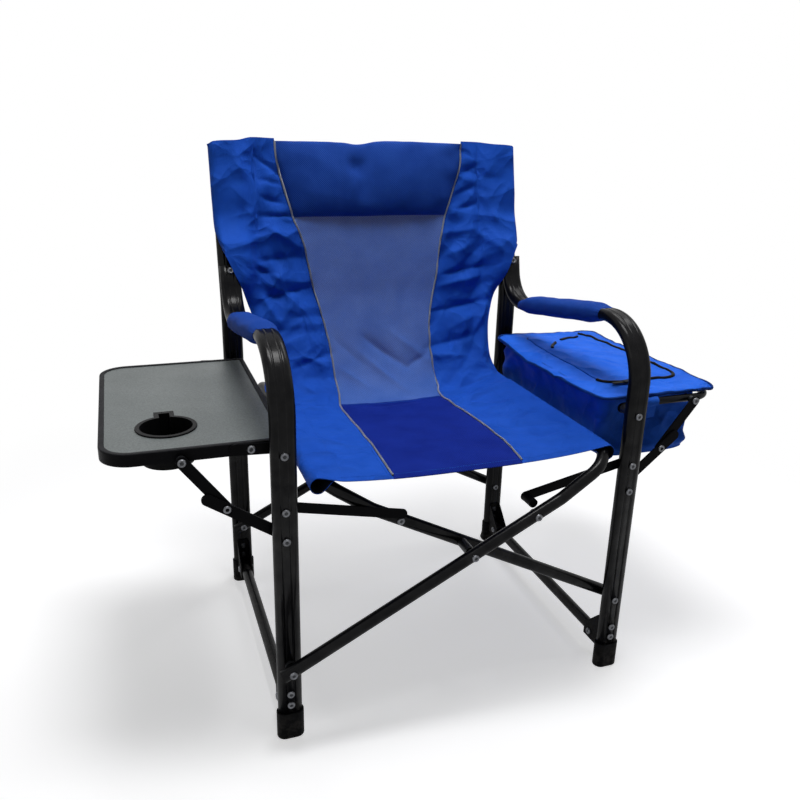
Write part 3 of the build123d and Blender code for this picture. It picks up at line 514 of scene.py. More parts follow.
section = []
chord = math.asin(math.sqrt(flute_radius**2 - (flute_radius - flute_depth) ** 2) / flute_radius)
for face in (1, -1):
    for i in range(17):
        angle = math.pi * (i / 16 - 0.5)
        reach = (tube_wide - tube_thick) / 2 + tube_thick / 2 * math.cos(angle)
        section.append((face * reach, face * tube_thick / 2 * math.sin(angle)))
    for aside in (flute_aside, -flute_aside):
        for i in range(7):
            angle = chord * (1 - i / 3)
            dip = tube_thick / 2 + flute_radius - flute_depth - flute_radius * math.cos(angle)
            section.append((face * (aside + flute_radius * math.sin(angle)), face * dip))

arm_end = (riser_y(600) + (arm_front - 600) * math.tan(lean)) / (1 + arm_fall * math.tan(lean))
arm_corners = [(0, tube_foot), (0, arm_front), (arm_end, arm_height(arm_end))]
arm_line = bent_line(arm_corners + [(riser_y(riser_top), riser_top)], [front_bend, rear_bend])
for side, sign in sides:
    rings = []
    for i, point in enumerate(arm_line):
        way = arm_line[min(i + 1, len(arm_line) - 1)] - arm_line[max(i - 1, 0)]
        out = Vector((-way.y, way.x)).normalized()
        rings.append([place(sign * leg_x + a, *(point + out * b)) for a, b in section])
    mesh = bmesh.new()
    join_rings(mesh, rings)
    tube = keep(f"bent_tube_{side}", mesh, tube_coat, sharp=30)
    wall = tube.modifiers.new("wall", "SOLIDIFY")
    wall.thickness = tube_wall
    wall.offset = -1
    fit(tube, f"side_{side}", f"arm_tube_{side}")


# ------------------------ fabrics
# Woven polyester for the sling's sides and the bag, open knitted mesh in the back, spacer mesh in the
# seat and a soft knit over the padding. Weaves follow each panel's own UV map, in metres of cloth.
def in_threads(tree, feed):
    """Places on the cloth, counted in threads."""
    per_metre = calculate(tree, "DIVIDE", 1.0, feed["Pitch"])
    return add_node(tree, "VectorMath", {0: feed["Vector"], 3: per_metre}, operation="SCALE").outputs[0]


weave, feed, result = group("weave", ("Vector", "Pitch"), ("Height", "Threads", "Cloud", "Creases"))
crease_shape = {"Scale": 12.0, "Detail": 2.0, "Roughness": 0.4, "Offset": 1.0, "Gain": 1.2, "Distortion": 0.3}
crease_shape["Vector"] = feed["Vector"]
ridged = add_node(weave, "TexNoise", crease_shape, noise_type="RIDGED_MULTIFRACTAL").outputs[0]
threads = in_threads(weave, feed)
ways = add_node(weave, "SeparateXYZ", {0: threads}).outputs
warp, weft = (calculate(weave, "SINE", calculate(weave, "MULTIPLY", ways[k], 2 * math.pi)) for k in (0, 1))
over = calculate(weave, "MULTIPLY_ADD", calculate(weave, "MULTIPLY", warp, weft), 0.5, 0.5)
slub = noise_at(weave, threads, 0.6, 2, 0.7)
height = calculate(weave, "MULTIPLY_ADD", slub, 0.6, over)
cloud = noise_at(weave, feed["Vector"], 24.0, 4)
connect(result, Height=height, Threads=slub, Cloud=cloud, Creases=ridged)

holes, feed, result = group("mesh_holes", ("Vector", "Pitch"), ("Height", "Hole", "Cloud"))
values = {"Vector": in_threads(holes, feed), "Rotation": (0, 0, math.pi / 4)}
values = {"Vector": add_node(holes, "Mapping", values).outputs[0], "Scale": 1.0, "Randomness": 0.06}
spots = add_node(holes, "TexVoronoi", values, voronoi_dimensions="2D").outputs["Distance"]
height, hole = remap(holes, spots, 0.2, 0.6), remap(holes, spots, 0.36, 0.24)
connect(result, Height=height, Hole=hole, Cloud=noise_at(holes, feed["Vector"], 16.0, 4))


def cloth_surface(name, pattern, pitch, sheen, tint):
    """A cloth's material, tree and shader, with its pattern laid out on the panel."""
    material, tree, shader = principled(
        name, Specular_IOR_Level=0.03, Sheen_Weight=sheen, Sheen_Roughness=0.4, Sheen_Tint=tint
    )
    values = {"Vector": add_node(tree, "TexCoord").outputs["UV"], "Pitch": pitch}
    return material, tree, shader, add_node(tree, "Group", values, node_tree=pattern).outputs


def woven(name, deep, pale, pitch=0.0007, roughness=0.58, sheen=0.03, creased=0.006):
    """Plain woven polyester with a slight thread variation, small creases and a soft sheen."""
    material, tree, shader, cloth = cloth_surface(name, weave, pitch, sheen, (0.2, 0.35, 1, 1))
    shade = calculate(tree, "MULTIPLY", cloth["Cloud"], 0.8)
    shade = calculate(tree, "MULTIPLY_ADD", cloth["Height"], 0.35, shade)
    ridges = relief(tree, cloth["Creases"], 1.0, creased)
    connect(
        shader,
        Base_Color=mix_colour(tree, remap(tree, shade, 0.3, 0.95), (*deep, 1), (*pale, 1)),
        Roughness=remap(tree, cloth["Threads"], 0.2, 0.8, roughness - 0.08, roughness + 0.08),
        Normal=relief(tree, cloth["Height"], 0.5, 0.0002, Normal=ridges),
    )
    return material


def open_mesh(name, thread, pale, hole_shade, pitch, see_through=0.0, bump=0.8):
    """Knitted mesh: small holes in rows, painted darker inside as shade, or cut through by the share given.
    """
    material, tree, shader, knit = cloth_surface(name, holes, pitch, 0.03, (0.35, 0.45, 1, 1))
    colour = mix_colour(tree, remap(tree, knit["Cloud"], 0.3, 0.7), (*thread, 1), (*pale, 1))
    connect(
        shader,
        # the holes take a darker colour: painted shade seen through them
        Base_Color=mix_colour(tree, knit["Hole"], colour, (*hole_shade, 1)),
        Roughness=remap(tree, knit["Height"], 0, 1, 0.8, 0.6),
        Normal=relief(tree, knit["Height"], bump, 0.0004),
    )
    if see_through:
        connect(shader, Alpha=remap(tree, knit["Hole"], 0.0, 1.0, 1.0, 1 - see_through))
    return material


blue_cloth = woven("blue_polyester", (0.008, 0.062, 0.40), (0.018, 0.1, 0.57))
hem_cloth = woven("blue_hem_tape", (0.008, 0.052, 0.33), (0.016, 0.085, 0.46), pitch=0.0011)
# near-black backing for the insides of the seat cloth and the bag wall: painted shade for their shadowed
# insides
painted_shade_lining = woven("painted_shade_lining", (0.004, 0.004, 0.006), (0.012, 0.012, 0.016), sheen=0.1)
thread_blue = woven("thread_blue", (0.012, 0.07, 0.4), (0.03, 0.14, 0.62), pitch=0.0005)
piping_pale = woven("piping_pale", (0.5, 0.52, 0.58), (0.78, 0.8, 0.84), pitch=0.0011, sheen=0.1)
# the third colour of each mesh is the painted shade inside its holes
back_knit = open_mesh("blue_mesh", (0.06, 0.145, 0.5), (0.1, 0.2, 0.6), (0.02, 0.07, 0.32), 0.0024, 0.3)
seat_knit = open_mesh(
    "navy_mesh", (0.006, 0.02, 0.24), (0.01, 0.032, 0.33), (0.003, 0.009, 0.11), 0.0026, bump=1.0
)
pad_knit = open_mesh(
    "pad_knit", (0.012, 0.054, 0.31), (0.02, 0.078, 0.4), (0.005, 0.026, 0.17), 0.0026, bump=0.9
)


# ------------------------ sling
# One sheet of polyester from the front hem, over both seat rails and up the back to the leaning posts,
# cut by piped seams into two sides and a middle. It hangs in a shallow trough and creases at its pulls.
# Known fault: the seat and the back are panels on different bodies. They meet at seam_s at rest, but at
# chair_fold_max they tear 0.31 to 0.36 m apart there, and the back's halves part by up to 0.16 m.
def smooth_row(rows, at):
    """A row of values at a place, on a smooth curve through rows that start with their place."""
    if at <= rows[0][0]:
        return rows[0][1:]
    if at >= rows[-1][0]:
        return rows[-1][1:]
    i = max(k for k in range(len(rows) - 1) if rows[k][0] <= at)
    before, one, two, after = rows[max(i - 1, 0)], rows[i], rows[i + 1], rows[min(i + 2, len(rows) - 1)]
    span = two[0] - one[0]
    t = (at - one[0]) / span
    out = []
    for z, a, b, c in zip(before[1:], one[1:], two[1:], after[1:]):
        m, n = (b - z) / (two[0] - before[0]) * span, (c - a) / (after[0] - one[0]) * span
        from_one = a * (2 * t**3 - 3 * t * t + 1) + m * (t**3 - 2 * t * t + t)
        out.append(from_one + b * (3 * t * t - 2 * t**3) + n * (t**3 - t * t))
    return out


def ease(t):
    """0 to 1 with a soft start and end."""
    t = min(max(t, 0.0), 1.0)
    return t * t * (3 - 2 * t)


# middle line y, z; the line y, z that the sheet's edge keeps to; half of the sheet's width there
sling_line = [
    (-8, 427, -8, 439.5, 240), (0, 429.6, 0, 440.5, 240), (40, 428, 40, 440.8, 240),
    (100, 425, 100, 440.8, 240), (200, 420.5, 200, 440.8, 240), (300, 417, 300, 440.8, 240),
    (350, 417, 348, 440.8, 240), (382, 429, 382, 441, 241), (411, 450, 412, 442.5, 243),
    (437, 487, 437, 472, 237), (458, 530, 457, 528, 239), (474, 570, 473.5, 570, 251),
    (483, 600, 483, 600, 261), (488, 630, 488, 630, 272), (495.7, 674, 495.7, 674, 291),
    (505, 718, 505, 718, 308), (518, 780, 518, 780, 311), (531, 840, 531, 840, 311),
    (541, 889, 541, 889, 311),
]
along = [0.0]
for one, two in zip(sling_line, sling_line[1:]):
    along.append(along[-1] + math.dist(one[:2], two[:2]))
sling_rows = [(s, *row) for s, row in zip(along, sling_line)]
back_rows = [(row[1], s) for s, row in zip(along[7:], sling_line[7:])]
seam_s, sleeve_s, top_s, top_z = along[6], along[14], along[-1], 889.0
rail_x, post_x = 240, 299

# x, z of the sheet's top edge, then half of the middle's width at each s on the seat and z on the back
top_edge = [
    (-312, 880), (-302, 886.5), (-256, 889.5), (-232, 894), (-190, 893), (-110, 893), (-60, 892),
    (-25, 888.5), (15, 895), (70, 896), (150, 894), (190, 893), (232, 892), (256, 889.5), (302, 886.5),
    (312, 880),
]
seam_lines = {
    "left": (
        [(0, 128), (12, 127.5), (140, 118), (290, 115), (350, 114)],
        [(430, 106), (487, 105), (550, 112), (631, 131), (700, 143), (747, 160), (849, 186), (889, 188)],
    ),
    "right": (
        [(0, 85), (80, 98), (180, 102.5), (300, 99), (376, 94)],
        [(430, 100), (487, 103), (544, 108), (636, 130), (701, 141), (751, 154), (840, 189), (889, 194)],
    ),
}


def s_of_height(z):
    """Place along the sling's line of a height on its back."""
    return smooth_row(back_rows, z)[0]


seam_rows = {}
for side, (on_seat, on_back) in seam_lines.items():
    line = list(on_seat)
    line += [(s_of_height(z), half) for z, half in on_back if s_of_height(z) > line[-1][0] + 15]
    seam_rows[side] = line

# creases in the back: from x, z to x, z, the height of the crease in millimetres and its width
back_creases = [
    (-214, 733, -151, 695, 5, 12), (-231, 672, -161, 678, -4.5, 11), (-252, 681, -194, 637, 4, 10),
    (-249, 661, -198, 646, -3.5, 9), (-214, 604, -140, 617, -6, 12), (-166, 600, -212, 624, 4, 10),
    (-166, 600, -197, 554, 4, 10), (-162, 598, -146, 510, -3, 9), (-229, 605, -201, 554, 4.5, 11),
    (-159, 495, -122, 477, 4, 10), (-184, 478, -110, 496, -4, 10), (-205, 530, -150, 560, 3, 10),
    (-222, 855, -178, 823, -4, 8), (-223, 818, -183, 810, -3.5, 7), (-219, 786, -177, 774, -4, 8),
    (-224, 752, -161, 753, -4.5, 7), (-228, 740, -228, 873, -2.5, 5), (-280, 700, -225, 715, 3, 10),
    (148, 714, 214, 721, 4, 11), (214, 721, 290, 665, 5.5, 12), (138, 633, 238, 648, -6, 12),
    (135, 611, 217, 626, 4.5, 10), (127, 562, 232, 577, -7, 13), (102, 495, 203, 515, -6, 12),
    (201, 513, 263, 601, 5, 11), (104, 479, 174, 478, 4.5, 10), (160, 530, 225, 560, 4, 11),
    (180, 880, 224, 859, -4, 8), (187, 827, 228, 845, -3.5, 7), (181, 789, 222, 806, -3.5, 7),
    (180, 761, 226, 771, -4, 7), (228, 745, 228, 873, -2.5, 5), (150, 670, 205, 690, 3, 11),
    (-29, 516, 47, 463, -6.5, 12), (-42, 488, 29, 424, 4, 11), (47, 463, 95, 483, -4, 10),
    (-92, 468, -46, 437, 3, 10), (30, 520, 95, 470, 3, 12), (-95, 520, -40, 470, -2, 12),
]
# and in the seat, with s in place of z
seat_creases = [
    (-232, 30, -150, 55, 1.6, 9), (-225, 90, -128, 120, -1.6, 10), (-230, 170, -140, 150, 1.6, 10),
    (-232, 250, -150, 285, -2, 11), (-238, 330, -120, 345, 2.5, 10), (110, 330, 225, 352, 3, 11),
    (105, 300, 190, 330, -2.5, 10), (120, 240, 215, 270, 1.8, 10), (130, 150, 230, 130, -1.6, 11),
    (120, 60, 220, 85, 1.6, 10), (-60, 345, 40, 350, -1.5, 10), (150, 380, 235, 400, -3.5, 10),
]
crease_gain, fold_gain = 1.8, 1.5
crease_lines = [(a, s_of_height(b), c, s_of_height(d), *size) for a, b, c, d, *size in back_creases]
crease_lines = [(Vector(line[:2]), Vector(line[2:4]), *line[4:]) for line in crease_lines + seat_creases]


def crease_height(x, s):
    """How far the placed creases stand off the even surface, in millimetres."""
    at, total = Vector((x, s)), 0.0
    for a, b, rise, wide in crease_lines:
        line = b - a
        t = (at - a).dot(line) / line.length_squared
        if -0.25 < t < 1.25:
            off = (at - a - line * t).length
            if off < 3 * wide:
                taper = math.sin(math.pi * min(max((t + 0.25) / 1.5, 0), 1)) ** 1.2
                cusp = math.exp(1.5 / wide - math.hypot(off, 1.5) / (0.75 * wide))
                total += crease_gain * rise * taper * cusp
    return total


# direction in radians, distance from one fold to the next and height
folds = ((0.6, 96, 5.2), (-0.45, 74, 4.2), (1.35, 120, 4.0), (-1.1, 52, 2.4), (0.2, 40, 1.5))


def crumple(x, s, fine):
    """Sharp-edged folds that lie everywhere in loose cloth, in millimetres."""
    total = noise.noise(Vector((x * 0.06, s * 0.055, 2.0))) * 0.4
    for k, (angle, length, rise) in enumerate(folds):
        bend = noise.noise(Vector((x * 0.007, s * 0.007, k * 7.3))) * 1.5
        along_fold = (x * math.cos(angle) + s * math.sin(angle)) / length + bend
        edge = abs(along_fold % 1.0 - 0.5) * 2
        there = ease(0.45 + noise.noise(Vector((x * 0.011, s * 0.011, k * 3.1 + 20))) * 1.5)
        total += rise * (edge - 0.5) * there
    return fold_gain * total * fine


post_clear, sleeve_clear, riser_clear = 13.5, 3.0, 22.0


def stand_forward(x, z, half):
    """How far the cloth stands in front of its line there, to clear the post and the riser."""
    in_front = post_clear * ease((z - 565) / 60) + sleeve_clear * ease((z - 760) / 40)
    in_front += riser_clear * ease((760 - z) / 70) * ease((z - 590) / 60)
    if abs(x) > post_x and half > 300:
        in_front *= math.sqrt(max(1 - ((abs(x) - post_x) / (half - post_x)) ** 2, 0.0))
    return in_front * ease((abs(x) - 228) / 42)


def sling_point(x, s, looseness=1.0, lift=0.0):
    """A point of the sling's front at x across and s along, in millimetres; lift stands it off."""
    my, mz, ey, ez, half = smooth_row(sling_rows, s)
    after, before = smooth_row(sling_rows, min(s + 4, top_s)), smooth_row(sling_rows, max(s - 4, 0))
    tangent = Vector((after[0] - before[0], after[1] - before[1])).normalized()
    share = min(abs(x) / half, 1.0) ** 3
    y, z = my + (ey - my) * share, mz + (ez - mz) * share
    if s > sleeve_s:
        z += (smooth_row(top_edge, x)[0] - top_z) * ((s - sleeve_s) / (top_s - sleeve_s)) ** 2
    calm = ease((half - abs(x)) / 18) * ease((s + 2) / 40) * ease((top_s - s) / 30)
    calm *= 1 - 0.75 * ease((abs(x) - 256) / 14) * ease((s - seam_s - 120) / 40)
    slack = 0.28 + 0.72 * ease((s - seam_s) / 60)
    off = calm * (crease_height(x, s) + crumple(x, s, looseness * slack)) + lift
    return Vector((x, y - stand_forward(x, mz, half) - tangent.y * off, z + tangent.x * off))


def map_cloth(mesh, layer, cloth):
    """Give each vertex's place on the flat cloth to the mesh's UV map."""
    for face in mesh.faces:
        for loop in face.loops:
            loop[layer].uv = cloth[loop.vert]


def shown_mesh(made):
    """A new mesh of an object as its curve and modifiers make it."""
    depsgraph = bpy.context.evaluated_depsgraph_get()
    return bpy.data.meshes.new_from_object(made.evaluated_get(depsgraph))


def panel(name, columns, rows, where_at, material, away_from, thick=0.0011, backing=None):
    """A sheet of cloth from where_at's points, with UV in metres and its face away from a point."""
    mesh = bmesh.new()
    layer, cloth = mesh.loops.layers.uv.new("cloth"), {}
    bmesh.ops.create_grid(mesh, x_segments=columns, y_segments=rows, size=0.5)
    for vertex in mesh.verts:
        point, flat = where_at(vertex.co.x + 0.5, vertex.co.y + 0.5)
        vertex.co, cloth[vertex] = place(*point), Vector(flat) / 1000
    map_cloth(mesh, layer, cloth)
    for face in mesh.faces:
        face.smooth = True
    bmesh.ops.remove_doubles(mesh, verts=mesh.verts, dist=1e-6)
    mesh.normal_update()
    behind = place(*away_from)
    if sum(f.normal.dot(f.calc_center_median() - behind) * f.calc_area() for f in mesh.faces) < 0:
        bmesh.ops.reverse_faces(mesh, faces=mesh.faces)
    made = add_mesh(name, mesh, *([material, backing] if backing else [material]))
    wall = made.modifiers.new("thickness", "SOLIDIFY")
    wall.thickness, wall.offset, wall.material_offset = thick, -1, 1 if backing else 0
    walled = shown_mesh(made)
    made.modifiers.clear()
    made.data = walled
    walled.set_sharp_from_angle(angle=math.radians(65))
    return made


def cloth_tube(name, points, radius, material):
    """Piping or tape: a round section along a line of points, as a mesh with UV along it."""
    curve = bpy.data.curves.new(name, "CURVE")
    curve.dimensions = "3D"
    curve.bevel_depth = radius
    curve.bevel_resolution = 4
    curve.use_fill_caps = True
    spline = curve.splines.new("POLY")
    spline.points.add(len(points) - 1)
    for knot, point in zip(spline.points, points):
        knot.co = (*point, 1)
    line = add_object(name + "_line", curve)
    data = shown_mesh(line)
    bpy.data.objects.remove(line)
    data.materials.clear()
    data.materials.append(material)
    data.polygons.foreach_set("use_smooth", [True] * len(data.polygons))
    layer = data.uv_layers.new(name="cloth")
    for loop in data.loops:
        at = data.vertices[loop.vertex_index].co
        layer.data[loop.index].uv = (at.x + at.y, at.z + at.y)
    return add_object(name, data)


stitch_length, stitch_pitch, stitch_radius = 3.2, 4.6, 0.45


def stitches(name, points):
    """A row of stitches along a line: one short six-sided capsule for each, half sunk in the cloth."""
    mesh = bmesh.new()
    size = {"radius1": stitch_radius / 1000, "radius2": stitch_radius / 1000, "depth": stitch_length / 1000}
    bmesh.ops.create_cone(mesh, cap_ends=True, segments=6, **size)
    rims = [e for e in mesh.edges if abs(e.verts[0].co.z - e.verts[1].co.z) < 1e-6]
    rounding = {"offset": stitch_radius / 2200, "segments": 1, "profile": 0.5, "material": -1}
    bmesh.ops.bevel(mesh, geom=rims, affect="EDGES", **rounding)
    places, travelled, wanted = [], 0.0, 0.0
    for a, b in zip(points, points[1:]):
        span = (b - a).length * 1000
        while span > 0 and wanted <= travelled + span:
            places.append((a.lerp(b, (wanted - travelled) / span), b - a))
            wanted += stitch_pitch
        travelled += span
    set_copies(mesh, places)
    return keep(name, mesh, thread_blue)


def line_on_sling(start, end, across_at, looseness=1.0, lift=0.15, step=5.0):
    """Points on the sling from one place along to another; across_at gives x for each place."""
    count = max(int(abs(end - start) / step), 2)
    spots = [start + (end - start) * i / count for i in range(count + 1)]
    return [place(*sling_point(across_at(s), s, looseness, lift)) for s in spots]


hem_wrap, sewn_x, sleeve_deep, sleeve_seam = 12.9, 212, 13.5, 229
piping_radius = 0.0017
sleeve_ends, free_edge_ends = [s_of_height(z) for z in (735, 872)], [s_of_height(z) for z in (470, 600)]
for side, sign in sides:
    def seam_at(s):
        """Half of the middle's width at a place along."""
        return smooth_row(seam_rows[side], s)[0]

    def seat_side(u, v, flat_share=0.62):
        """From the piped seam over the rail, round under it and back to the sewn line."""
        cut_back = 9.0 * ease((u - 0.4) / 0.25) if sign < 0 else 0.0
        s = cut_back + v * (seam_s + 6 - cut_back)
        if u <= flat_share:
            x = seam_at(s) + (rail_x - seam_at(s)) * u / flat_share
            return sling_point(sign * x, s), (sign * x, s)
        edge = sling_point(sign * rail_x, s)
        t = (u - flat_share) / (1 - flat_share)
        arc = min(t / 0.6, 1) * math.radians(188)
        x, z = rail_x + hem_wrap * math.sin(arc), edge.z - hem_wrap * (1 - math.cos(arc))
        if t > 0.6:
            back = (t - 0.6) / 0.4
            x += (sewn_x - x) * back
            z += (sling_point(sign * sewn_x, s).z - 3.0 - z) * ease(back)
        return Vector((sign * x, edge.y, z)), (sign * (rail_x + t * 70), s)

    def seat_middle(u, v):
        """From the chair's middle to the piped seam."""
        s = v * (seam_s + 2)
        x = sign * seam_at(s) * u
        return sling_point(x, s, 0.5), (x, s)

    def back_side(u, v):
        """From the piped seam to the free edge below and round the post above."""
        s = seam_s - 4 + v * (top_s - seam_s + 4)
        x = sign * (seam_at(s) + (smooth_row(sling_rows, s)[4] - seam_at(s)) * u)
        return sling_point(x, s), (x, s)

    def back_middle(u, v):
        """From the chair's middle to the piped seam, up to behind the pillow."""
        s = seam_s + 1 + v * (s_of_height(770) - seam_s - 1)
        x = sign * seam_at(s) * u
        return sling_point(x, s, 0.16), (x, s)

    def sleeve(u, v):
        """From the post's outer side round behind it to the sewn line, closed at the top."""
        low = s_of_height(712 - 26 * min(u / 0.5, 1))
        s = low + v * (top_s - low)
        y, mz, _, _, half = smooth_row(sling_rows, s)
        if u < 0.25:
            arc = math.pi / 2 * u / 0.25
            x, behind = post_x + (half - post_x) * math.cos(arc), sleeve_deep * math.sin(arc)
        else:
            x = post_x - (post_x - sleeve_seam) * (u - 0.25) / 0.75
            behind = sleeve_deep - 11.0 * ease((post_x - x - 22) / 46)
        behind -= (behind + stand_forward(x, mz, half) - 1.0) * ease((v - 0.965) / 0.035)
        fold = crumple(x, s, 0.6) * ease((297 - x) / 20) * ease((top_s - s) / 30)
        point = Vector((sign * x, y + behind + fold, sling_point(sign * x, s, 0.0).z))
        return point, (sign * (309 + u * 90), s)

    behind_back = (0, 2000, 200)
    under_rail = (sign * 232, 170, 424)
    # the seat cloth's underside takes the lining's painted shade
    made = panel(f"seat_cloth_{side}", 74, 100, seat_side, blue_cloth, under_rail, backing=painted_shade_lining)
    fit(made, None, f"seat_side_{side}")
    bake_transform(made)

    made = panel(f"seat_knit_{side}", 26, 90, seat_middle, seat_knit, (0, 170, 0), thick=0.0016)
    fit(made, f"seat_{side}", f"seat_insert_{side}")

    made = panel(f"back_knit_{side}", 34, 110, back_middle, back_knit, behind_back, thick=0.0009)
    fit(made, f"back_{side}", f"back_mesh_{side}")

    cloth = panel(f"back_cloth_{side}", 46, 150, back_side, blue_cloth, behind_back)
    wrap = panel(f"sleeve_cloth_{side}", 36, 70, sleeve, blue_cloth, (sign * 270, 512, 780))
    for made, part in ((cloth, "side"), (wrap, "sleeve")):
        fit(made, None, f"back_{part}_{side}")
        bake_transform(made)

    def beside_seam(s, aside=6.0):
        """x of a line beside the piped seam."""
        return sign * (seam_at(s) + aside)

    def beside_edge(s):
        """x of a line inside the back's free edge."""
        return sign * (smooth_row(sling_rows, s)[4] - 7)

    # piping in both seams; stitches beside it, along the sewn lines, the free edge and the hems
    for part, start, end in (("seat", 6, seam_s), ("back", seam_s, top_s - 5)):
        seam = line_on_sling(start, end, lambda s: beside_seam(s, 0.0), 0.7, 1.0)
        piping = cloth_tube(f"{part}_piping_{side}", seam, piping_radius, piping_pale)
        fit(piping, f"{part}_{side}")
    cross, hem = (
        [place(*sling_point(sign * x, s, 1.0, 0.15)) for x in range(2, 212, 6)] for s in (seam_s - 3, 11)
    )
    rows_of_stitches = [
        (f"{side}_0", "seat", line_on_sling(8, seam_s - 4, beside_seam)),
        (f"{side}_1", "seat", line_on_sling(8, seam_s - 4, lambda s: sign * (200 - 8 * s / seam_s))),
        (f"{side}_2", "back", line_on_sling(seam_s + 4, top_s - 8, beside_seam)),
        (f"{side}_3", "back", line_on_sling(*sleeve_ends, lambda s: sign * sleeve_seam)),
        (f"{side}_4", "back", line_on_sling(*free_edge_ends, beside_edge)),
        (f"cross_{side}", "seat", cross),
        (f"hem_{side}", "seat", hem),
    ]
    for label, part, points in rows_of_stitches:
        fit(stitches(f"stitches_{label}", points), f"{part}_{side}")

# ------------------------ head pillow
# A stuffed pillow sewn in above the mesh: soft knit over fibre, full in the middle, drawn in at its
# seams and creased near the middle where it is quilted.
pillow_low, pillow_high = s_of_height(750), s_of_height(884)
pillow_full, dimple_deep, furrow_deep = 23.0, 10.0, 5.0


def pillow_lift(x, s, half):
    """How far the pillow's front stands off the sling, in millimetres."""
    u, v = min(abs(x) / half, 1.0), (s - pillow_low) / (pillow_high - pillow_low)
    round_v = math.sin(math.pi * min(max(v, 0), 1) ** 0.8) ** 0.55
    round_u = (1 - u**3.2) ** 0.6
    dimple = math.exp(-(((x + 35) / 15) ** 2) - ((v - 0.68) / 0.12) ** 2) * dimple_deep
    furrow = math.exp(-(((x + 14 + (0.75 - v) * 34) / 13) ** 2)) * furrow_deep * math.sin(math.pi * v)
    puckers = noise.noise(Vector((x * 0.05, v * 2.2, 6.0))) * 2.2 * (1 - round_v * 0.5)
    return 2.0 + pillow_full * round_u * round_v - dimple - furrow + puckers * round_u * min(v * 8, 1)


for side, sign in sides:
    mesh = bmesh.new()
    layer, cloth = mesh.loops.layers.uv.new("cloth"), {}
    for front in (True, False):
        for vertex in bmesh.ops.create_grid(mesh, x_segments=44, y_segments=36, size=0.5)["verts"]:
            s = pillow_low + (vertex.co.y + 0.5) * (pillow_high - pillow_low)
            half = smooth_row(seam_rows[side], s)[0] - 2
            x = sign * half * (vertex.co.x + 0.5)
            lift = pillow_lift(x, s, half) if front else 0.5
            vertex.co, cloth[vertex] = place(*sling_point(x, s, 0.3, lift)), Vector((x, s)) / 1000
    bmesh.ops.bridge_loops(mesh, edges=[e for e in mesh.edges if e.is_boundary])
    map_cloth(mesh, layer, cloth)
    pillow = keep(f"pillow_{side}", mesh, pad_knit, sharp=55)
    fit(pillow, f"back_{side}", f"headrest_{side}")

# ------------------------ armrest pads
# Foam sleeves covered in soft knit, pushed over the arm tubes before they were bent: fuller in the
# middle, drawn in and gathered at both hems.
pad_start, pad_end, hem_length = 108.0, 392.0, 40
pad_wide, pad_high, fuller_wide, fuller_high, hem_tuck = 40.5, 22.0, 7.5, 13.5, 2.2


def superellipse(angle, wide, high, power=2.6):
    """A point on a ring between an ellipse and a rectangle."""
    c, s = math.cos(angle), math.sin(angle)
    x, z = abs(c) ** (2 / power) * wide / 2, abs(s) ** (2 / power) * high / 2
    return math.copysign(x, c), math.copysign(z, s)


for side, sign in sides:

    def pad_at(u, v):
        """A point of the pad at u round it and v along it."""
        y = pad_start + v * (pad_end - pad_start)
        end = min(y - pad_start, pad_end - y)
        swell = ease(end / hem_length)
        tucked = hem_tuck * (1 - math.sqrt(max(1 - (1 - min(end / 4.0, 1)) ** 2, 0.0)))
        wide = pad_wide + (fuller_wide + 1.5 * math.sin(v * 3)) * swell * 0.85 - tucked
        px, pz = superellipse(2 * math.pi * u - math.pi / 2, wide, pad_high + fuller_high * swell - tucked)
        fold = noise.noise(Vector((u * 9, y * 0.03, 3 + sign))) * 1.3 * swell
        gather = 0.6 * math.sin(u * 2 * math.pi * 16) * math.exp(-end / 9)
        grown = 1 + (fold + gather) / (math.hypot(px, pz) or 1)
        return Vector((sign * leg_x + px * grown, y, arm_height(y) + pz * grown + 1.2 * swell)), (u * 125, y)

    middle = (sign * leg_x, 250, arm_height(250))
    made = panel(f"arm_foam_{side}", 72, 96, pad_at, pad_knit, middle, thick=0.0024)
    fit(made, f"side_{side}", f"arm_pad_{side}")

# ------------------------ cooler bag
# A soft insulated box of coated polyester, hung by sewn tabs in its tube frame. Its walls sag between
# the corners, the lid's edge is piped, and a flap in the lid closes with a zip on three sides.
bag_cloth = woven("bag_cloth", (0.01, 0.066, 0.42), (0.022, 0.12, 0.62), pitch=0.0008, roughness=0.56)
# the lid and flap take a paler copy of the bag's cloth: painted light on the lid's upward face
painted_lit_lid_cloth = woven("painted_lit_lid_cloth", (0.013, 0.1, 0.62), (0.03, 0.17, 0.86), pitch=0.0008, roughness=0.56)
zip_black = moulded_plastic("zip_black", (0.006, 0.006, 0.007), 0.45, 900.0)
# x, x, y, y of each piece seen from above
wall_box, lid_box, flap_box = (262, 456.5, 51, 429), (250, 483, 38, 441), (297, 449.5, 100, 410)
wall_low, wall_high, lid_z = 391.0, 499.0, 503.5
wall_sag, wall_belly, wall_droop, foot_inset = 9.0, 7.0, 4.0, 8.0
lid_crown, lid_dip, lid_rear_rise, lid_drop = 7.0, 7.0, 5.0, 3.0
lid_piping_radius, zip_radius, slit_radius = 0.0026, 0.0031, 0.0032


def grow(box, by):
    """A box with its sides moved outwards."""
    x0, x1, y0, y1 = box
    return x0 - by, x1 + by, y0 - by, y1 + by


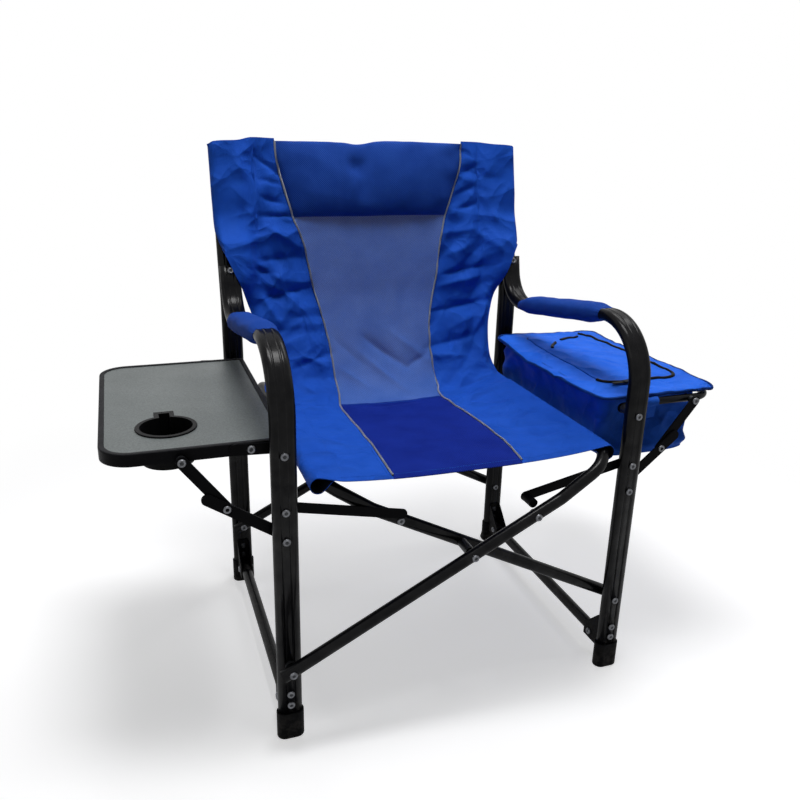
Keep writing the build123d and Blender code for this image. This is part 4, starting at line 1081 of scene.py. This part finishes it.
def rounded_ring(u, box, corner):
    """A point of a rounded rectangle by its share of the way round, with its outward direction."""
    x0, x1, y0, y1 = grow(box, -corner)
    corners = [Vector(c) for c in ((x0, y0), (x0, y1), (x1, y1), (x1, y0))]
    outs = [Vector(way) for way in ((-1, 0), (0, 1), (1, 0), (0, -1))]
    runs, arc = (y1 - y0, x1 - x0) * 2, math.pi * corner / 2
    at = u % 1.0 * (sum(runs) + 4 * arc)
    for k, run in enumerate(runs):
        out, following, centre = outs[k], outs[(k + 1) % 4], corners[(k + 1) % 4]
        if at <= run:
            return corners[k] + out * corner + Vector((out.y, -out.x)) * at, out
        at -= run
        if at <= arc or k == 3:
            turn = min(at / arc, 1) * math.pi / 2
            direction = out * math.cos(turn) + following * math.sin(turn)
            return centre + direction * corner, direction
        at -= arc


wall_middle = Vector(((wall_box[0] + wall_box[1]) / 2, (wall_box[2] + wall_box[3]) / 2))


def bag_wall(u, v):
    """The bag's wall at u round it and v up it."""
    z = wall_low + v * (wall_high - wall_low)
    point, out = rounded_ring(u, wall_box, 22)
    aside = abs(point.x - wall_middle.x) / 102 if abs(out.y) > 0.7 else abs(point.y - wall_middle.y) / 194
    between = max(min(1 - aside, 1), 0)
    sag = -wall_sag * math.sin(math.pi * min(v * 1.05, 1)) * ease(between * 2.2)
    belly = wall_belly * (1 - v) ** 2 * ease(between * 2)
    drag = noise.noise(Vector((point.x * 0.014, point.y * 0.014, z * 0.02 + point.x * 0.006))) * 6.5
    sharp = (1 - abs(noise.noise(Vector((point.x * 0.02 + z * 0.012, point.y * 0.02, z * 0.02)))) * 3) * 2.4
    folded = crumple(point.x * 1.3 + z * 0.4, point.y * 1.3 + z, 0.7)
    off = sag + belly + (drag + sharp + folded) * ease(v * 4) * ease((1 - v) * 5) - 1.5
    off = min(off, 4.5) - foot_inset * (1 - ease(v * 7))
    droop = -wall_droop * ease(between * 1.5) * (1 - v)
    return Vector((*(point + out * off), z + droop)), (u * 1130, z)


def bag_floor(u, v):
    """The bag's bottom: a rounded panel that hangs a little in its middle."""
    rim = bag_wall(u, 0.0)[0]
    point = wall_middle.lerp(rim.xy, v)
    return Vector((*point, rim.z + 0.4 - 3.0 * (1 - v * v))), tuple(point)


def lid_height(x, y):
    """Height of the lid: crowned, sagging along its inner edge, raised at the rear corner."""
    x0, x1, y0, y1 = lid_box
    u, v = (x - x0) / (x1 - x0), (y - y0) / (y1 - y0)
    crown = lid_crown * math.sin(math.pi * min(max(u, 0), 1)) * math.sin(math.pi * min(max(v, 0), 1))
    dip = -lid_dip * math.exp(-((u / 0.16) ** 2)) * math.sin(math.pi * min(max(v, 0), 1))
    rear_lift = lid_rear_rise * ease((v - 0.7) / 0.3) * ease(1.2 - u)
    wave = noise.noise(Vector((x * 0.012, y * 0.012, 7.0))) * 2.6 + crumple(x * 1.4 + 90, y * 1.4, 0.32)
    front = ease((130 - y) / 90) * ease((x - 300) / 120)
    rucks = front * 3.5 * noise.noise(Vector((x * 0.035, y * 0.02, 3.0)))
    return lid_z + crown + dip + rear_lift + wave + rucks


def lid_face(u, v):
    """A point of the lid from the flap, v 0, to its piped edge, v 1."""
    point = rounded_ring(u, flap_box, 26)[0].lerp(rounded_ring(u, lid_box, 20)[0], v)
    return Vector((*point, lid_height(*point) - lid_drop * ease((v - 0.9) / 0.1))), tuple(point)


def flap_face(u, v):
    """A point of the zipped flap from its middle, v 0, to its edge, v 1."""
    x0, x1, y0, y1 = flap_box
    point = Vector(((x0 + x1) / 2, (y0 + y1) / 2)).lerp(rounded_ring(u, grow(flap_box, -2), 25)[0], v)
    return Vector((*point, lid_height(*point) + 0.4)), tuple(point)


bag_inside, under_lid = (359, 240, 445), (365, 240, 0)
# the wall's inside takes the lining's painted shade
wall = panel("bag_wall", 220, 44, bag_wall, bag_cloth, bag_inside, thick=0.0018, backing=painted_shade_lining)
fit(wall, "bag_frame", "bag_body")
base = panel("bag_base", 110, 14, bag_floor, bag_cloth, bag_inside, thick=0.0018)
fit(base, "bag_frame")
for made in (wall, base):
    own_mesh(made)
lid = panel("bag_lid", 200, 18, lid_face, painted_lit_lid_cloth, under_lid, thick=0.0022)
fit(lid, "bag_frame", "bag_rim")
flap = panel("bag_flap_cloth", 120, 22, flap_face, painted_lit_lid_cloth, under_lid, thick=0.0022)
fit(flap, "bag_flap", "bag_flap")


def ring_line(box, corner, start, lift, count):
    """Points on the lid round a rounded rectangle, from a share of the way to its end."""
    points = []
    for i in range(count + 1):
        point, _ = rounded_ring(start + (1 - start) * i / count, box, corner)
        points.append(place(*point, lid_height(*point) + lift))
    return points


lid_edge, zip_line = ring_line(lid_box, 20, 0, -2.0, 220), ring_line(grow(flap_box, 1), 27, 0.46, 0.6, 200)
edge_piping = cloth_tube("bag_lid_piping", lid_edge, lid_piping_radius, hem_cloth)
fit(edge_piping, "bag_frame")
zip_tape = cloth_tube("bag_zip", zip_line, zip_radius, zip_black)
fit(zip_tape, "bag_frame")
for number, (a, b) in enumerate((((318, 322), (345, 357)), ((366, 372), (418, 392)))):
    a, b = Vector(a), Vector(b)
    aside = Vector((a.y - b.y, b.x - a.x)).normalized()
    line = [a.lerp(b, i / 12) + aside * 3 * math.sin(math.pi * i / 12) for i in range(13)]
    points = [place(*at, lid_height(*at) + 0.9) for at in line]
    fit(cloth_tube(f"flap_slit_{number}", points, slit_radius, zip_black), "bag_flap")

# tabs that hold the bag to its frame, folded over the tube and sewn to the wall
tab_x, tab_wide, tab_radius, tab_z = 329, 28, 8.2, 490
for end, tube_y, turn in (("front", 36.0, 1), ("rear", 444.0, -1)):

    def tab_at(u, v):
        """A point of the tab at u across it and v over the tube."""
        arc = math.radians(-60 + 230 * min(v / 0.7, 1))
        y, z = tube_y - turn * tab_radius * math.sin(arc), tab_z + tab_radius * math.cos(arc)
        if v < 0.12:
            y, z = tube_y + turn * (7 + (0.12 - v) * 40), 494.5 + (0.12 - v) * 20
        if v > 0.7:
            hang = (v - 0.7) / 0.3
            y, z = y + turn * 3 * hang, z - 22 * hang
        x = tab_x + u * tab_wide
        return Vector((x, y, z + 0.4 * math.sin(u * 9))), (x, v * 60)

    tab = panel(f"bag_tab_{end}", 14, 40, tab_at, bag_cloth, (343, tube_y, tab_z), thick=0.0013)
    fit(tab, "bag_frame", "bag_tabs" if end == "front" else None)
